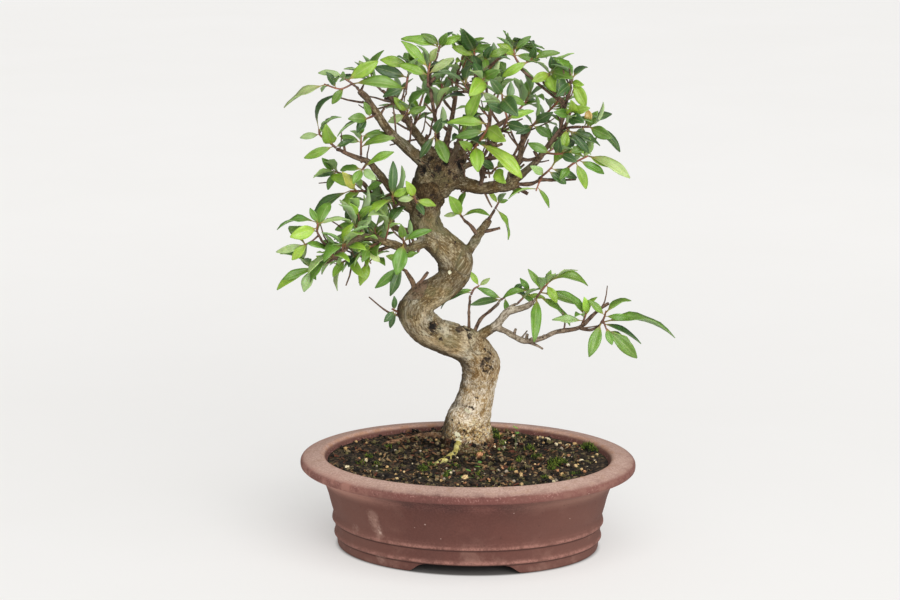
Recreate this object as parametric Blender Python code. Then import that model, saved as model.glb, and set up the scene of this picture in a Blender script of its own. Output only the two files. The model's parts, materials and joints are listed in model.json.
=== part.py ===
"""Pomegranate bonsai in an oval clay pot: pot, drain screens, soil, the tree's wood and its leafy shoots.

Metres, +Z up, +X to the right of the front view, the pot's foot on z = 0.
The tree is drawn in a front view: (across, down, depth), where across and down are points of a
900 by 600 drawing and depth is how many millimetres the point lies behind the pot's middle.
"""

import math
import random

import bmesh
import bpy
from mathutils import Matrix, Vector
from mathutils.bvhtree import BVHTree

MM = 0.001
GAP = 0.3 * MM  # left between pieces that touch

# Pot
POT_LENGTH = 201 * MM
POT_WIDTH = 165 * MM
POT_HEIGHT = 56.5 * MM
POT_X = -7.0 * MM  # the crown reaches further right than left, and the whole is centred on x = 0
RIM_WIDTH = 13.6 * MM
RIM_SLOPE = 1.0 * MM
LIP_THICK = 6.5 * MM
BODY_INSET = 15.0 * MM  # from the rim's outer edge to the body's line at the rim
FOOT_INSET = 22.0 * MM
WALL = 5.5 * MM
FOOT_HEIGHT = 6.0 * MM
FOOT_WIDTH = 8.0 * MM
FLOOR_THICK = 5.0 * MM
NOTCH_WIDTH = 57 * MM
NOTCH_FLARE = 4.3 * MM
NOTCH_SHIFT = 5 * MM  # to the right of the pot's middle, as seen from its own side
BANDS = ((6.2 * MM, 10.2 * MM), (15.4 * MM, 20.4 * MM))  # bottom and top
BAND_RISE = 1.2 * MM
BAND_CREST = 0.35  # share of a band's height, from its bottom
DRAIN_RADIUS = 9 * MM
DRAIN_SPACING = 80 * MM
DRAIN_SIDES = 16
FOOT_ROUND = 1.2 * MM
LIP_ROUND = 1.4 * MM
# The hollow under the lip: out from the body's line and down from the lip
COVE = ((0.8 * MM, 22 * MM), (2.2 * MM, 12 * MM), (5 * MM, 5.5 * MM), (9.5 * MM, 1.8 * MM),
        (14 * MM, 0))
# The inner wall: in from the rim's outer edge and down from the rim
INSIDE = ((13.6 * MM, 1.6 * MM), (20.6 * MM, 9 * MM), (23 * MM, 18 * MM))
FLOOR_FILLET = (5 * MM, 6 * MM)
POT_SIDES = 36
SHARP_ANGLE = math.radians(35)

# Drain screens
SCREEN_SIDE = 24 * MM
SCREEN_THICK = 1.2 * MM
SCREEN_HOLES = 2
SCREEN_BAR = 1.8 * MM

# Soil
SOIL_EDGE = 52 * MM
MOUND_RISE = 8.0 * MM
MOUND_REACH = 30 * MM
SOIL_RINGS = 5
SOIL_BUMP = 0.7 * MM
SOIL_WAVES = (410, 370, 190)  # turns in radians a metre
SOIL_FIT = 0.2 * MM

# Front view
VIEW_DISTANCE = 1500 * MM
VIEW_FOCAL = 2540  # drawing units
VIEW_RISE = math.radians(12.5)
VIEW_TURN = math.radians(6.9)
VIEW_MIDDLE = (450, 300)
LOOK_AT = Vector((-10.5 * MM, 0, 150.4 * MM))
UNIT = VIEW_DISTANCE / VIEW_FOCAL

# Leaves
BLADE_THICK = 0.9 * MM
STALK_HALF = 0.55 * MM
LEAF_STATIONS = ((0.14, 0.0, 0.85), (0.44, 1.0, 1.0), (0.76, 0.70, 0.9))
SHORT_STATIONS = ((0.34, 0.8, 0.95), (0.66, 1.0, 1.0))
SHORT_LEAF = 19 * MM
LEAF_FOLD = math.radians(16)
LEAF_LEAST_RATIO = 2.5  # length over width
LEAF_USUAL_RATIO = 0.26  # width over length, for a blade seen edge on
LEAF_BOW = 0.09
CLEARANCE = 0.35 * MM
RULED_SHARE = 0.3  # of the leaves that grow by rule, how many these solids hold
RULED_LENGTH = (13 * MM, 21 * MM)
RULED_RATIO = (0.28, 0.40)  # width over length
RULED_LEAN = (35, 75)  # degrees off the stem
RULED_RISE = (-0.25, 0.35)
RULED_SWING = 0.4
SHIFTS = (0, -3, 3, -6, 6, -9, 9, -12, 12, -16, 16, -20, 20)  # mm, tried in turn
SEED = 31
SCRAP_FACES = 4

# Stems and wood
SHOOT_HALF = 1.25  # drawing units
SHOOT_SIDES = 3
LIMB_SIDES = 5
TWIG_SIDES = 4
THICK_LIMB = 3  # half width in drawing units from which a limb has more sides
TWIG_HALF = 1.7  # drawing units
TRUNK_SIDES = 12
TRUNK_STEPS = 1
ROOM = 0.39 * MM  # round the wood in the soil
BARK_SHARP_ANGLE = math.radians(50)

# The trunk's middle line: across, down, depth, half width in drawing units
TRUNK = (
    (467, 476, 30, 22), (467, 455, 30, 24), (467, 438, 30, 24), (467.5, 422, 30, 23),
    (471.5, 410, 29, 20.5), (475, 398, 27, 18.5), (478, 385, 25, 17.5), (480.5, 371, 22, 18.5),
    (478, 358, 18, 18.5), (469, 347, 13, 18), (453, 340.5, 8, 17), (435, 334, 4, 16.5),
    (421.5, 324, 1, 17), (416.5, 311, 0, 17), (422, 299.5, 2, 16), (436, 291, 5, 15),
    (449, 281.5, 8, 14.5), (454.5, 269, 10, 16.5), (453, 256.5, 8, 17), (443, 245.5, 5, 15),
    (431, 234, 3, 14.5), (425, 220, 2, 14.5), (425, 207, 2, 15.5), (428, 195, 2, 17),
    (434, 182, 2, 20), (441, 170, 2, 23), (443, 158, 2, 18), (443, 150, 2, 10),
)

# Swellings of the trunk: across, down, depth, reach and rise in drawing units
BURLS = (
    (488, 366, 12, 10, 2.4), (500, 362, 22, 12, 1.6), (398, 311, -2, 12, 1.8),
    (471, 262, 8, 12, 1.8), (463, 333, 2, 12, 1.6), (432, 330, -6, 9, 1.4),
    (455, 430, 14, 16, 3.0), (490, 436, 26, 14, 3.0), (446, 436, 34, 13, 3.0),
    (416, 196, -2, 10, 2.2), (461, 163, -6, 13, 4.0), (428, 172, -4, 12, 3.0),
    (446, 292, -4, 9, 1.4), (447, 258, -6, 11, 1.6),
)

# Roots: half widths at start and end in drawing units, then across, down, depth
ROOTS = (
    (3.2, 2.2, (458, 436, 26), (457, 447, 11), (450, 456, -1), (440, 461, -6), (431, 466, -15)),
    (4.5, 2.5, (452, 440, 26), (436, 436, 36), (418, 437, 45), (402, 440, 41), (386, 444, 37)),
    (5.5, 3.0, (484, 440, 30), (498, 446, 28), (512, 452, 26), (526, 462, 20)),
    (7.0, 3.0, (456, 452, 24), (440, 476, 12), (420, 494, 0)),
    (7.0, 3.0, (480, 452, 24), (500, 480, 14), (524, 496, 2)),
    (6.0, 3.0, (470, 452, 40), (474, 464, 45), (480, 478, 48)),
)

# Limbs and woody twigs: half widths at start and end in drawing units, then across, down, depth
LIMBS = {
    "low": (5.5, 2.8, (472, 341, 12), (487, 331, 8), (495, 326, 5), (502, 318, 2), (509, 311, 0),
            (518, 309, -2), (527, 306, -3), (533, 302, -4)),
    "low_hook": (2.0, 1.5, (504, 315, 1), (510, 307, 1), (516, 304, 0)),
    "low_outer": (3.3, 1.8, (494, 327, 6), (505, 331, 1), (515, 337, -3), (525, 341, -7),
                  (535, 340, -9), (545, 337, -11), (556, 332, -12), (575, 329, -14),
                  (583, 325, -15), (590, 318, -16), (600, 309, -16), (609, 303, -17)),
    "low_dead": (2.0, 1.2, (525, 341, -7), (536, 345, -6), (543, 349, -6)),
    "low_tip": (2.2, 1.7, (579, 328, -15), (590, 330, -18), (597, 327, -20)),
    "cut_twig": (2.0, 1.6, (469, 338, 12), (469, 320, 13), (469, 309, 15), (470, 301, 17)),
    "cut_branch": (2.6, 1.8, (472, 338, 12), (480, 320, 14), (490, 311, 16), (498, 304, 17)),
    "stub": (5.5, 3.8, (462, 260, 8), (468, 251, 9), (475, 241, 9), (480, 233, 9), (485, 226, 9),
             (489, 220, 8)),
    "stub_left": (2.6, 1.8, (478, 236, 9), (471, 226, 7), (465, 221, 6)),
    "stub_right": (2.6, 1.6, (482, 232, 9), (492, 230, 6), (500, 228, 5)),
    "stub_tip": (2.4, 1.7, (487, 222, 8), (494, 211, 9)),
    "left_mid": (5.2, 2.6, (434, 240, 4), (418, 245, -2), (406, 249, -6), (392, 244, -10),
                 (378, 240, -13), (364, 237, -16), (352, 243, -20), (342, 251, -23),
                 (334, 258, -25)),
    "left_mid_back": (2.6, 1.8, (394, 245, -9), (376, 251, -3), (360, 255, 3), (352, 257, 5)),
    "left_mid_tip": (2.0, 1.7, (336, 257, -25), (332, 250, -27), (327, 245, -29)),
    "left_mid_end": (1.9, 1.7, (336, 257, -25), (326, 263, -24), (319, 266, -23)),
    "left_spike": (2.0, 1.7, (363, 238, -16), (361, 229, -17)),
    "left_thorn": (1.3, 0.7, (351, 244, -20), (352, 250, -20), (354, 257, -20)),
    "upper": (5.2, 1.8, (420, 213, 2), (404, 204, -2), (394, 192, -5), (384, 180, -8),
              (376, 170, -10), (369, 162, -12), (358, 158, -14), (348, 154, -16), (338, 149, -18)),
    "upper_twig": (1.5, 0.8, (394, 222, 12), (390, 208, 10), (386, 195, 9)),
    "third": (3.7, 1.8, (424, 230, 4), (404, 231, 8), (392, 225, 11), (383, 214, 13),
              (376, 202, 14), (369, 191, 15), (363, 183, 16), (355, 178, 17), (345, 175, 18)),
    "bulge_limb": (3.6, 2.2, (421, 301, 2), (415, 290, 2), (412, 281, 0), (405, 270, -2)),
    "bulge_stub": (3.0, 1.6, (414, 289, 1), (422, 280, 2), (428, 272, 4)),
    "bulge_twig": (1.7, 0.8, (406, 317, 0), (388, 312, -4), (369, 297, -10)),
    "crown_left": (6.5, 3.0, (434, 170, 2), (425, 164, -2), (414, 154, -6), (402, 143, -12),
                   (391, 134, -16), (382, 121, -20), (374, 109, -24), (366, 97, -27),
                   (359, 91, -29)),
    "crown_knuckle": (1.8, 1.1, (360, 93, -29), (364, 84, -28)),
    "crown_thorn": (1.5, 0.8, (396, 138, -14), (395, 121, -12), (393, 105, -12)),
    "crown_inner": (5.0, 1.9, (438, 163, 2), (424, 143, 2), (414, 131, 4), (406, 118, 6),
                    (399, 105, 8), (391, 98, 9), (383, 91, 10)),
    "crown_middle": (3.0, 1.6, (440, 164, 0), (438, 142, -4), (437, 128, -8), (434, 112, -10),
                     (431, 92, -12), (430, 72, -14)),
    "crown_front": (3.6, 1.7, (447, 170, -2), (455, 152, -14), (463, 132, -26), (470, 110, -32),
                    (474, 88, -26), (476, 72, -18)),
    "right": (8.0, 4.8, (444, 180, 2), (458, 182, -2), (468, 185, -5), (481, 188, -8),
              (496, 187, -11), (509, 185, -14), (517, 181, -16)),
    "right_stump": (5.0, 4.0, (508, 184, -14), (512, 173, -14)),
    "right_stub": (3.0, 2.2, (513, 185, -15), (528, 194, -16)),
    "right_low": (2.6, 1.5, (515, 184, -16), (530, 184, -17), (541, 180, -17), (552, 180, -17),
                  (565, 180, -16), (576, 179, -15)),
    "right_out": (3.7, 2.0, (514, 181, -15), (528, 169, -21), (537, 161, -25), (544, 151, -28),
                  (551, 142, -30), (558, 133, -31), (563, 128, -31)),
    "right_out_up": (2.1, 1.7, (561, 130, -31), (563, 115, -31), (566, 103, -30), (569, 94, -29),
                     (571, 87, -28)),
    "right_up": (3.6, 1.9, (512, 182, -14), (517, 166, -10), (521, 152, -7), (524, 140, -4),
                 (530, 130, -1)),
    "right_front": (2.8, 1.7, (480, 187, -8), (484, 172, -22), (490, 156, -32), (497, 140, -40),
                    (503, 128, -45)),
    "inner_right": (3.6, 1.8, (446, 176, 4), (458, 170, 12), (470, 164, 18), (484, 160, 22),
                    (498, 157, 26), (513, 157, 28), (528, 160, 30), (540, 157, 32)),
    "pale": (2.5, 1.6, (478, 163, 20), (487, 150, 20), (489, 132, 20), (490, 114, 20),
             (487, 95, 22), (486, 78, 24), (484, 62, 26)),
    "snag": (7.0, 3.6, (448, 178, 2), (459, 166, -1), (466, 154, -3)),
    "back_left": (4.4, 1.9, (440, 168, 5), (428, 152, 22), (418, 138, 36), (408, 122, 46)),
    "back_middle": (3.6, 1.7, (444, 162, 5), (447, 140, 22), (452, 118, 34), (456, 92, 39),
                    (458, 71, 40)),
    "back_right": (4.4, 1.9, (446, 168, 6), (462, 152, 24), (480, 138, 38), (500, 124, 48),
                   (512, 116, 52)),
}

# Leafy shoots. Each spray has its stems (the first is the main one), the leaves of the front view
# as (root across, root down, tip across, tip down, width, bow), and how many more leaves grow
# round the stems by rule.
SPRAYS = (
    # Lower right branch
    ((((537, 297, -6), (542, 290, -7), (549, 282, -8)),),
     ((535, 300, 534, 342, 8), (549, 282, 588, 286, 5, 0.2), (541, 293, 584, 306, 9),
      (538, 296, 570, 326, 6), (541, 290, 528, 269, 6), (545, 286, 551, 270, 6),
      (547, 285, 557, 303, 9)), 3),
    ((((518, 303, 1), (524, 297, 4), (530, 291, 7)),),
     ((529, 292, 503, 298, 5, 0.2), (527, 295, 545, 298, 6), (530, 291, 520, 278, 6)), 2),
    ((((601, 323, -22), (604, 318, -23), (606, 311, -25)), ((603, 320, -22), (607, 331, -26))),
     ((600, 323, 675, 338, 7, 0.14), (599, 325, 641, 344, 4), (604, 316, 630, 318, 7, 0.3),
      (602, 330, 637, 358, 13), (602, 329, 612, 345, 8), (600, 328, 589, 357, 12),
      (604, 315, 588, 300, 7)), 2),
    ((((583, 322, -17), (586, 314, -19)),),
     ((585, 317, 558, 291, 6, 0.2), (586, 314, 584, 297, 8), (583, 321, 552, 320, 7)), 2),
    # Twigs behind the big cut
    ((((501, 300, 18), (506, 296, 19), (512, 291, 20)),),
     ((501, 302, 470, 305, 6), (503, 300, 477, 288, 7), (506, 298, 508, 314, 6),
      (511, 292, 524, 284, 6)), 2),
    ((((471, 295, 18), (474, 289, 19), (479, 286, 20)),),
     ((471, 292, 441, 309, 6, 0.18), (473, 289, 455, 294, 4), (479, 286, 469, 271, 6),
      (479, 286, 490, 278, 5)), 1),
    # Stub on the right of the trunk
    ((((462, 217, 4), (457, 210, 3)),),
     ((461, 217, 449, 196, 12), (464, 219, 490, 216, 4, 0.28), (459, 214, 444, 216, 5)), 1),
    ((((495, 209, 9), (499, 202, 10)),),
     ((496, 208, 508, 240, 4, 0.12), (498, 204, 488, 190, 5), (499, 203, 508, 200, 4)), 1),
    # Left pad
    ((((366, 191, 10), (358, 191, 7), (350, 191, 4)),),
     ((355, 191, 342, 172, 10), (350, 191, 312, 217, 7), (361, 191, 343, 204, 7),
      (353, 191, 348, 226, 5), (366, 190, 384, 181, 7)), 3),
    ((((321, 239, -30), (317, 231, -31), (318, 223, -32)),
      ((319, 235, -30), (312, 241, -28), (304, 245, -27))),
     ((318, 223, 277, 230, 5, 0.2), (317, 228, 290, 237, 13), (318, 224, 350, 220, 5),
      (305, 245, 276, 252, 8, 0.12), (308, 244, 292, 260, 9), (318, 223, 310, 208, 7)), 4),
    ((((314, 268, -22), (308, 270, -21)),),
     ((315, 267, 282, 280, 8), (311, 269, 277, 290, 8), (316, 267, 304, 292, 11),
      (312, 269, 316, 280, 6)), 2),
    ((((360, 224, -18), (359, 219, -19), (358, 212, -19)),),
     ((360, 226, 335, 230, 10), (359, 217, 372, 206, 8), (359, 215, 350, 203, 7)), 2),
    ((((350, 258, 6), (343, 262, 7), (336, 264, 8)),),
     ((345, 261, 333, 277, 9), (350, 258, 364, 278, 10), (336, 264, 316, 256, 7)), 3),
    ((((376, 244, -18), (371, 247, -21), (366, 249, -23)),),
     ((372, 246, 352, 250, 10), (368, 248, 362, 262, 9), (366, 249, 380, 262, 8)), 1),
    ((((404, 244, -13), (403, 238, -17)),),
     ((404, 243, 396, 275, 15), (404, 242, 432, 230, 6), (403, 239, 401, 224, 8)), 1),
    ((((394, 203, -12), (392, 196, -16)),),
     ((393, 201, 353, 228, 6, 0.15), (393, 198, 393, 161, 9), (392, 197, 408, 188, 8)), 2),
    ((((403, 268, -4), (402, 262, -6), (404, 256, -8)),),
     ((403, 266, 375, 288, 9), (403, 264, 390, 296, 10), (404, 257, 418, 253, 6),
      (402, 260, 386, 256, 7)), 1),
    ((((398, 312, -3), (392, 309, -6)),),
     ((394, 310, 394, 296, 6), (395, 310, 384, 322, 7), (397, 311, 390, 328, 6)), 1),
    ((((417, 204, -15), (414, 196, -17)),),
     ((414, 197, 406, 181, 9), (415, 200, 436, 206, 8), (415, 202, 424, 215, 7),
      (414, 198, 398, 200, 7)), 0),
    # Left of the crown
    ((((355, 86, -31), (350, 82, -32), (345, 79, -33)),
      ((352, 84, -31), (340, 89, -34), (324, 84, -34))),
     ((346, 79, 318, 73, 5), (348, 80, 378, 61, 13), (353, 84, 402, 88, 10),
      (326, 85, 284, 108, 6, 0.1), (335, 89, 326, 72, 7), (345, 90, 332, 104, 8)), 3),
    ((((373, 116, -27), (366, 119, -31)),),
     ((368, 118, 348, 119, 10), (367, 119, 357, 133, 8), (370, 117, 364, 102, 7)), 1),
    ((((336, 148, -19), (328, 141, -20), (320, 135, -21), (319, 129, -22)),),
     ((332, 144, 326, 124, 14), (334, 146, 304, 158, 9), (335, 147, 354, 140, 6),
      (319, 130, 341, 94, 6, 0.22), (320, 134, 300, 138, 7)), 3),
    ((((361, 155, -15), (361, 145, -16), (361, 135, -16)),),
     ((361, 136, 388, 134, 8), (361, 147, 395, 138, 7), (361, 135, 360, 119, 8),
      (361, 143, 340, 136, 8)), 3),
    ((((365, 166, -15), (362, 170, -18)),),
     ((363, 169, 353, 184, 9), (363, 169, 376, 180, 9), (364, 167, 394, 152, 6)), 1),
    ((((342, 174, 18), (334, 171, 19)),),
     ((338, 172, 314, 176, 6), (334, 171, 322, 158, 8), (336, 172, 328, 190, 8)), 3),
    ((((406, 90, -10), (408, 76, -10), (412, 63, -10)),),
     ((411, 66, 380, 60, 11), (408, 77, 374, 67, 12), (406, 87, 383, 97, 9),
      (412, 63, 416, 46, 9)), 4),
    ((((428, 82, -16), (428, 74, -17), (430, 63, -16)),),
     ((428, 75, 398, 65, 10), (429, 69, 401, 41, 10), (428, 74, 454, 58, 8),
      (430, 63, 438, 48, 8)), 3),
    ((((438, 52, -5), (440, 45, -4)),),
     ((439, 48, 401, 39, 7), (440, 45, 421, 34, 8), (440, 46, 461, 36, 8), (439, 47, 447, 33, 8)),
     3),
    ((((405, 116, -5), (408, 110, -9)),),
     ((406, 114, 426, 107, 8), (407, 111, 394, 97, 9), (405, 115, 388, 122, 8)), 2),
    ((((436, 141, -17), (435, 133, -21)),),
     ((435, 135, 420, 158, 8), (436, 137, 447, 163, 13), (435, 133, 442, 118, 9)), 1),
    # Top of the crown
    ((((478, 66, -8), (475, 57, -2), (474, 50, 2)), ((478, 65, -8), (486, 58, -13))),
     ((474, 52, 463, 29, 15), (474, 50, 490, 45, 7), (475, 56, 452, 47, 9),
      (486, 58, 509, 50, 8, 0.25), (484, 60, 493, 46, 8)), 4),
    ((((480, 93, -36), (482, 86, -39), (484, 78, -41)),),
     ((484, 79, 469, 96, 15), (482, 87, 468, 122, 13), (481, 90, 501, 110, 10),
      (484, 78, 500, 70, 10)), 3),
    ((((522, 68, -8), (515, 57, -5), (514, 50, -3)), ((521, 66, -8), (532, 59, -7))),
     ((514, 50, 531, 36, 7), (515, 55, 540, 60, 8), (515, 56, 497, 44, 9), (532, 59, 560, 53, 6),
      (529, 61, 502, 77, 9), (532, 59, 536, 46, 8)), 5),
    ((((547, 78, -17), (552, 70, -16)),),
     ((552, 70, 551, 56, 7), (549, 75, 556, 92, 13), (551, 72, 573, 79, 14),
      (550, 73, 532, 82, 10)), 3),
    # Right of the crown
    ((((571, 84, -28), (573, 77, -27)),),
     ((572, 82, 584, 85, 7), (572, 81, 586, 107, 12), (573, 77, 566, 64, 8),
      (571, 83, 556, 96, 10)), 3),
    ((((564, 127, -33), (568, 119, -37), (571, 112, -40)), ((565, 126, -33), (569, 131, -37))),
     ((571, 113, 571, 100, 11), (569, 117, 584, 123, 12), (571, 112, 590, 108, 9),
      (567, 129, 563, 150, 9), (568, 130, 589, 153, 8), (569, 131, 600, 146, 7),
      (570, 115, 554, 112, 9)), 2),
    ((((582, 127, -30), (590, 127, -31)),),
     ((589, 127, 612, 138, 12), (590, 127, 620, 152, 6), (587, 127, 598, 111, 9),
      (584, 127, 577, 141, 9)), 3),
    ((((547, 153, -30), (556, 154, -34), (567, 153, -36)),),
     ((567, 153, 588, 146, 8), (560, 154, 577, 162, 9), (550, 153, 528, 143, 9),
      (557, 154, 560, 138, 9)), 3),
    ((((563, 172, -22), (574, 163, -26), (588, 156, -28)),),
     ((576, 162, 586, 189, 10), (580, 160, 604, 174, 9), (587, 156, 615, 168, 10),
      (588, 156, 630, 178, 7), (570, 166, 560, 180, 8)), 3),
    ((((541, 177, -20), (547, 172, -24), (552, 167, -26)),
      ((543, 175, -22), (539, 183, -28), (536, 191, -28))),
     ((551, 168, 577, 178, 8), (548, 171, 566, 184, 9), (536, 187, 549, 208, 5),
      (544, 175, 530, 166, 8)), 2),
    # Front of the crown
    ((((504, 126, -47), (507, 118, -49), (503, 105, -50), (502, 94, -52)),),
     ((503, 98, 518, 116, 16), (502, 95, 525, 105, 8, 0.2), (502, 95, 490, 79, 10),
      (507, 119, 534, 111, 7), (505, 123, 526, 129, 10), (505, 112, 488, 104, 10)), 3),
    ((((531, 128, -2), (536, 121, -4)),),
     ((533, 126, 551, 138, 9), (535, 123, 553, 112, 10), (532, 126, 516, 134, 9)), 3),
    ((((470, 155, -30), (478, 143, -37), (486, 131, -43), (488, 123, -46)),),
     ((487, 127, 506, 141, 15), (486, 131, 455, 137, 9), (488, 124, 447, 123, 9),
      (476, 146, 478, 172, 14), (478, 143, 522, 178, 9), (473, 151, 459, 141, 9)), 1),
    ((((493, 171, -26), (497, 167, -29)),),
     ((495, 169, 506, 183, 12), (496, 168, 513, 156, 9), (495, 169, 480, 160, 8)), 1),
    # Back of the crown
    ((((407, 120, 48), (398, 108, 53), (392, 97, 55)),), (), 11),
    ((((419, 108, 42), (424, 92, 47), (428, 76, 46)),), (), 11),
    ((((459, 69, 40), (463, 57, 38), (468, 47, 33)),), (), 11),
    ((((444, 97, 50), (441, 82, 56)),), (), 9),
    ((((514, 115, 53), (524, 104, 57), (532, 94, 58)),), (), 11),
    ((((494, 108, 52), (499, 92, 54), (503, 78, 50)),), (), 11),
    ((((480, 86, 45), (490, 68, 42), (501, 57, 38)),), (), 10),
    ((((542, 156, 33), (554, 148, 36), (566, 140, 38)),), (), 11),
    ((((500, 58, 14), (512, 50, 12), (524, 44, 8)),), (), 9),
    ((((532, 126, 28), (548, 112, 24), (560, 99, 18)),), (), 11),
    ((((381, 90, 11), (372, 82, 14), (363, 78, 15)),), (), 9),
)

# The foliage's outline in the front view, as ovals: middle across and down, half across and down
OUTLINES = ((466, 112, 152, 84), (345, 226, 74, 68), (572, 312, 84, 46), (466, 214, 50, 50))

COLOURS = {
    "pot": (0.17, 0.07, 0.055, 0.75),
    "screen": (0.02, 0.02, 0.02, 0.6),
    "soil": (0.025, 0.016, 0.012, 0.95),
    "bark": (0.27, 0.21, 0.14, 0.85),
    "leaf": (0.06, 0.20, 0.03, 0.4),
}


def clear_scene():
    for old in list(bpy.data.objects):
        bpy.data.objects.remove(old, do_unlink=True)


def material_of(name):
    """The Principled material of one piece: each node has its own."""
    red, green, blue, roughness = COLOURS[name]
    material = bpy.data.materials.new(name)
    material.use_nodes = True
    shader = material.node_tree.nodes["Principled BSDF"]
    shader.inputs["Base Color"].default_value = (red, green, blue, 1)
    shader.inputs["Roughness"].default_value = roughness
    shader.inputs["Metallic"].default_value = 0
    material.diffuse_color = (red, green, blue, 1)
    return material


def object_from(name, points, faces, finish=None):
    """A mesh object with its faces turned outwards."""
    mesh = bpy.data.meshes.new(name)
    mesh.from_pydata(points, [], faces)
    work = bmesh.new()
    work.from_mesh(mesh)
    bmesh.ops.recalc_face_normals(work, faces=work.faces)
    work.to_mesh(mesh)
    work.free()
    made = bpy.data.objects.new(name, mesh)
    bpy.context.scene.collection.objects.link(made)
    if finish:
        mesh.materials.append(material_of(finish))
    return made


def boolean(target, operation, others):
    """Cuts or joins with several objects at once, applies it and removes them."""
    group = bpy.data.collections.new("operands")
    bpy.context.scene.collection.children.link(group)
    for other in others:
        bpy.context.scene.collection.objects.unlink(other)
        group.objects.link(other)
    modifier = target.modifiers.new(operation.lower(), "BOOLEAN")
    modifier.operation = operation
    modifier.operand_type = "COLLECTION"
    modifier.collection = group
    modifier.solver = "EXACT"
    apply_modifiers(target)
    for other in others:
        bpy.data.objects.remove(other, do_unlink=True)
    bpy.data.collections.remove(group)


def apply_modifiers(target):
    bpy.context.view_layer.update()
    graph = bpy.context.evaluated_depsgraph_get()
    mesh = bpy.data.meshes.new_from_object(target.evaluated_get(graph))
    mesh.name = target.name
    target.modifiers.clear()
    target.data = mesh


def keep_largest_shell(target):
    """Drops the scraps and sealed hollows that a union leaves, so that one body stays."""
    work = bmesh.new()
    work.from_mesh(target.data)
    unseen = set(work.faces)
    shells = []
    while unseen:
        front = [unseen.pop()]
        shell = list(front)
        while front:
            face = front.pop()
            for edge in face.edges:
                for near in edge.link_faces if len(edge.link_faces) == 2 else ():
                    if near in unseen:
                        unseen.discard(near)
                        shell.append(near)
                        front.append(near)
        shells.append(shell)
    shells.sort(key=len)
    for shell in shells[:-1]:
        if len(shell) > SCRAP_FACES:
            place = [round(value / MM) for value in shell[0].calc_center_median()]
            print(f"{target.name}: a shell of {len(shell)} faces dropped at {place} mm")
    dropped = [face for shell in shells[:-1] for face in shell]
    bmesh.ops.delete(work, geom=dropped, context="FACES")
    loose = [vert for vert in work.verts if not vert.link_faces]
    bmesh.ops.delete(work, geom=loose, context="VERTS")
    work.to_mesh(target.data)
    work.free()


# Front view and routes

def spot(across, down, depth):
    """The point of the tree that the front view shows at (across, down), depth mm behind."""
    forward = Vector((0, math.cos(VIEW_RISE), -math.sin(VIEW_RISE)))
    upward = Vector((0, math.sin(VIEW_RISE), math.cos(VIEW_RISE)))
    eye = LOOK_AT - forward * VIEW_DISTANCE
    ray = forward * VIEW_FOCAL + upward * (VIEW_MIDDLE[1] - down)
    ray.x = across - VIEW_MIDDLE[0]
    point = eye + ray * ((depth * MM - eye.y) / ray.y)
    return Matrix.Rotation(VIEW_TURN, 3, "Z") @ point + Vector((POT_X, 0, 0))


def is_in_outline(point):
    """Whether the front view shows a point inside one of the foliage's ovals."""
    forward = Vector((0, math.cos(VIEW_RISE), -math.sin(VIEW_RISE)))
    upward = Vector((0, math.sin(VIEW_RISE), math.cos(VIEW_RISE)))
    turned = Matrix.Rotation(-VIEW_TURN, 3, "Z") @ (point - Vector((POT_X, 0, 0)))
    from_eye = turned - (LOOK_AT - forward * VIEW_DISTANCE)
    scale = VIEW_FOCAL / from_eye.dot(forward)
    across = VIEW_MIDDLE[0] + from_eye.x * scale
    down = VIEW_MIDDLE[1] - from_eye.dot(upward) * scale
    return any(((across - x) / wide) ** 2 + ((down - y) / high) ** 2 < 1
               for x, y, wide, high in OUTLINES)


def toward_viewer():
    """The horizontal direction from the tree to the front view's eye."""
    return Matrix.Rotation(VIEW_TURN, 3, "Z") @ Vector((0, -1, 0))


def smoothed(points, steps):
    """A curve through hand-chosen points of any dimension, steps to a span."""
    ends = [points[0], *points, points[-1]]
    curve = []
    for a, b, c, d in zip(ends, ends[1:], ends[2:], ends[3:]):
        for step in range(steps):
            t = step / steps
            curve.append([
                0.5 * (2 * q + (r - p) * t + (2 * p - 5 * q + 4 * r - s) * t * t
                       + (3 * q - p - 3 * r + s) * t ** 3)
                for p, q, r, s in zip(a, b, c, d)
            ])
    curve.append(list(points[-1]))
    return curve


def tube(points, radii, sides):
    """Points and faces of a closed tube along a route, with a frame carried along it."""
    count = len(points)
    tangents = [(points[min(i + 1, count - 1)] - points[max(i - 1, 0)]).normalized()
                for i in range(count)]
    across = tangents[0].orthogonal().normalized()
    rings = []
    for point, tangent, radius in zip(points, tangents, radii):
        across = (across - tangent * across.dot(tangent)).normalized()
        other = tangent.cross(across)
        for side in range(sides):
            turn = math.tau * side / sides
            rings.append(point + (across * math.cos(turn) + other * math.sin(turn)) * radius)
    faces = [tuple(range(sides)), tuple(range((count - 1) * sides, count * sides))]
    for ring in range(count - 1):
        for side in range(sides):
            near = ring * sides + side
            next_side = ring * sides + (side + 1) % sides
            faces.append((near, next_side, next_side + sides, near + sides))
    return rings, faces


def limb_route(limb, grow=0.0):
    """Points and radii of a limb whose half widths are given at its two ends."""
    start, end, *stations = limb
    points = [spot(*station) for station in stations]
    radii = [((start + (end - start) * i / (len(points) - 1)) * UNIT) + grow
             for i in range(len(points))]
    return points, radii


def trunk_points(grow=0.0):
    """The trunk's tube, its knots and swellings pushed out of it."""
    stations = smoothed(TRUNK, TRUNK_STEPS)
    points = [spot(*station[:3]) for station in stations]
    radii = [station[3] * UNIT + grow for station in stations]
    rings, faces = tube(points, radii, TRUNK_SIDES)
    for across, down, depth, reach, rise in BURLS:
        middle = spot(across, down, depth)
        for index, point in enumerate(rings):
            axis = points[index // TRUNK_SIDES]
            near = (point - middle).length / (reach * UNIT)
            point += (point - axis).normalized() * rise * UNIT * math.exp(-near * near)
    return rings, faces


# Pot

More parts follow.
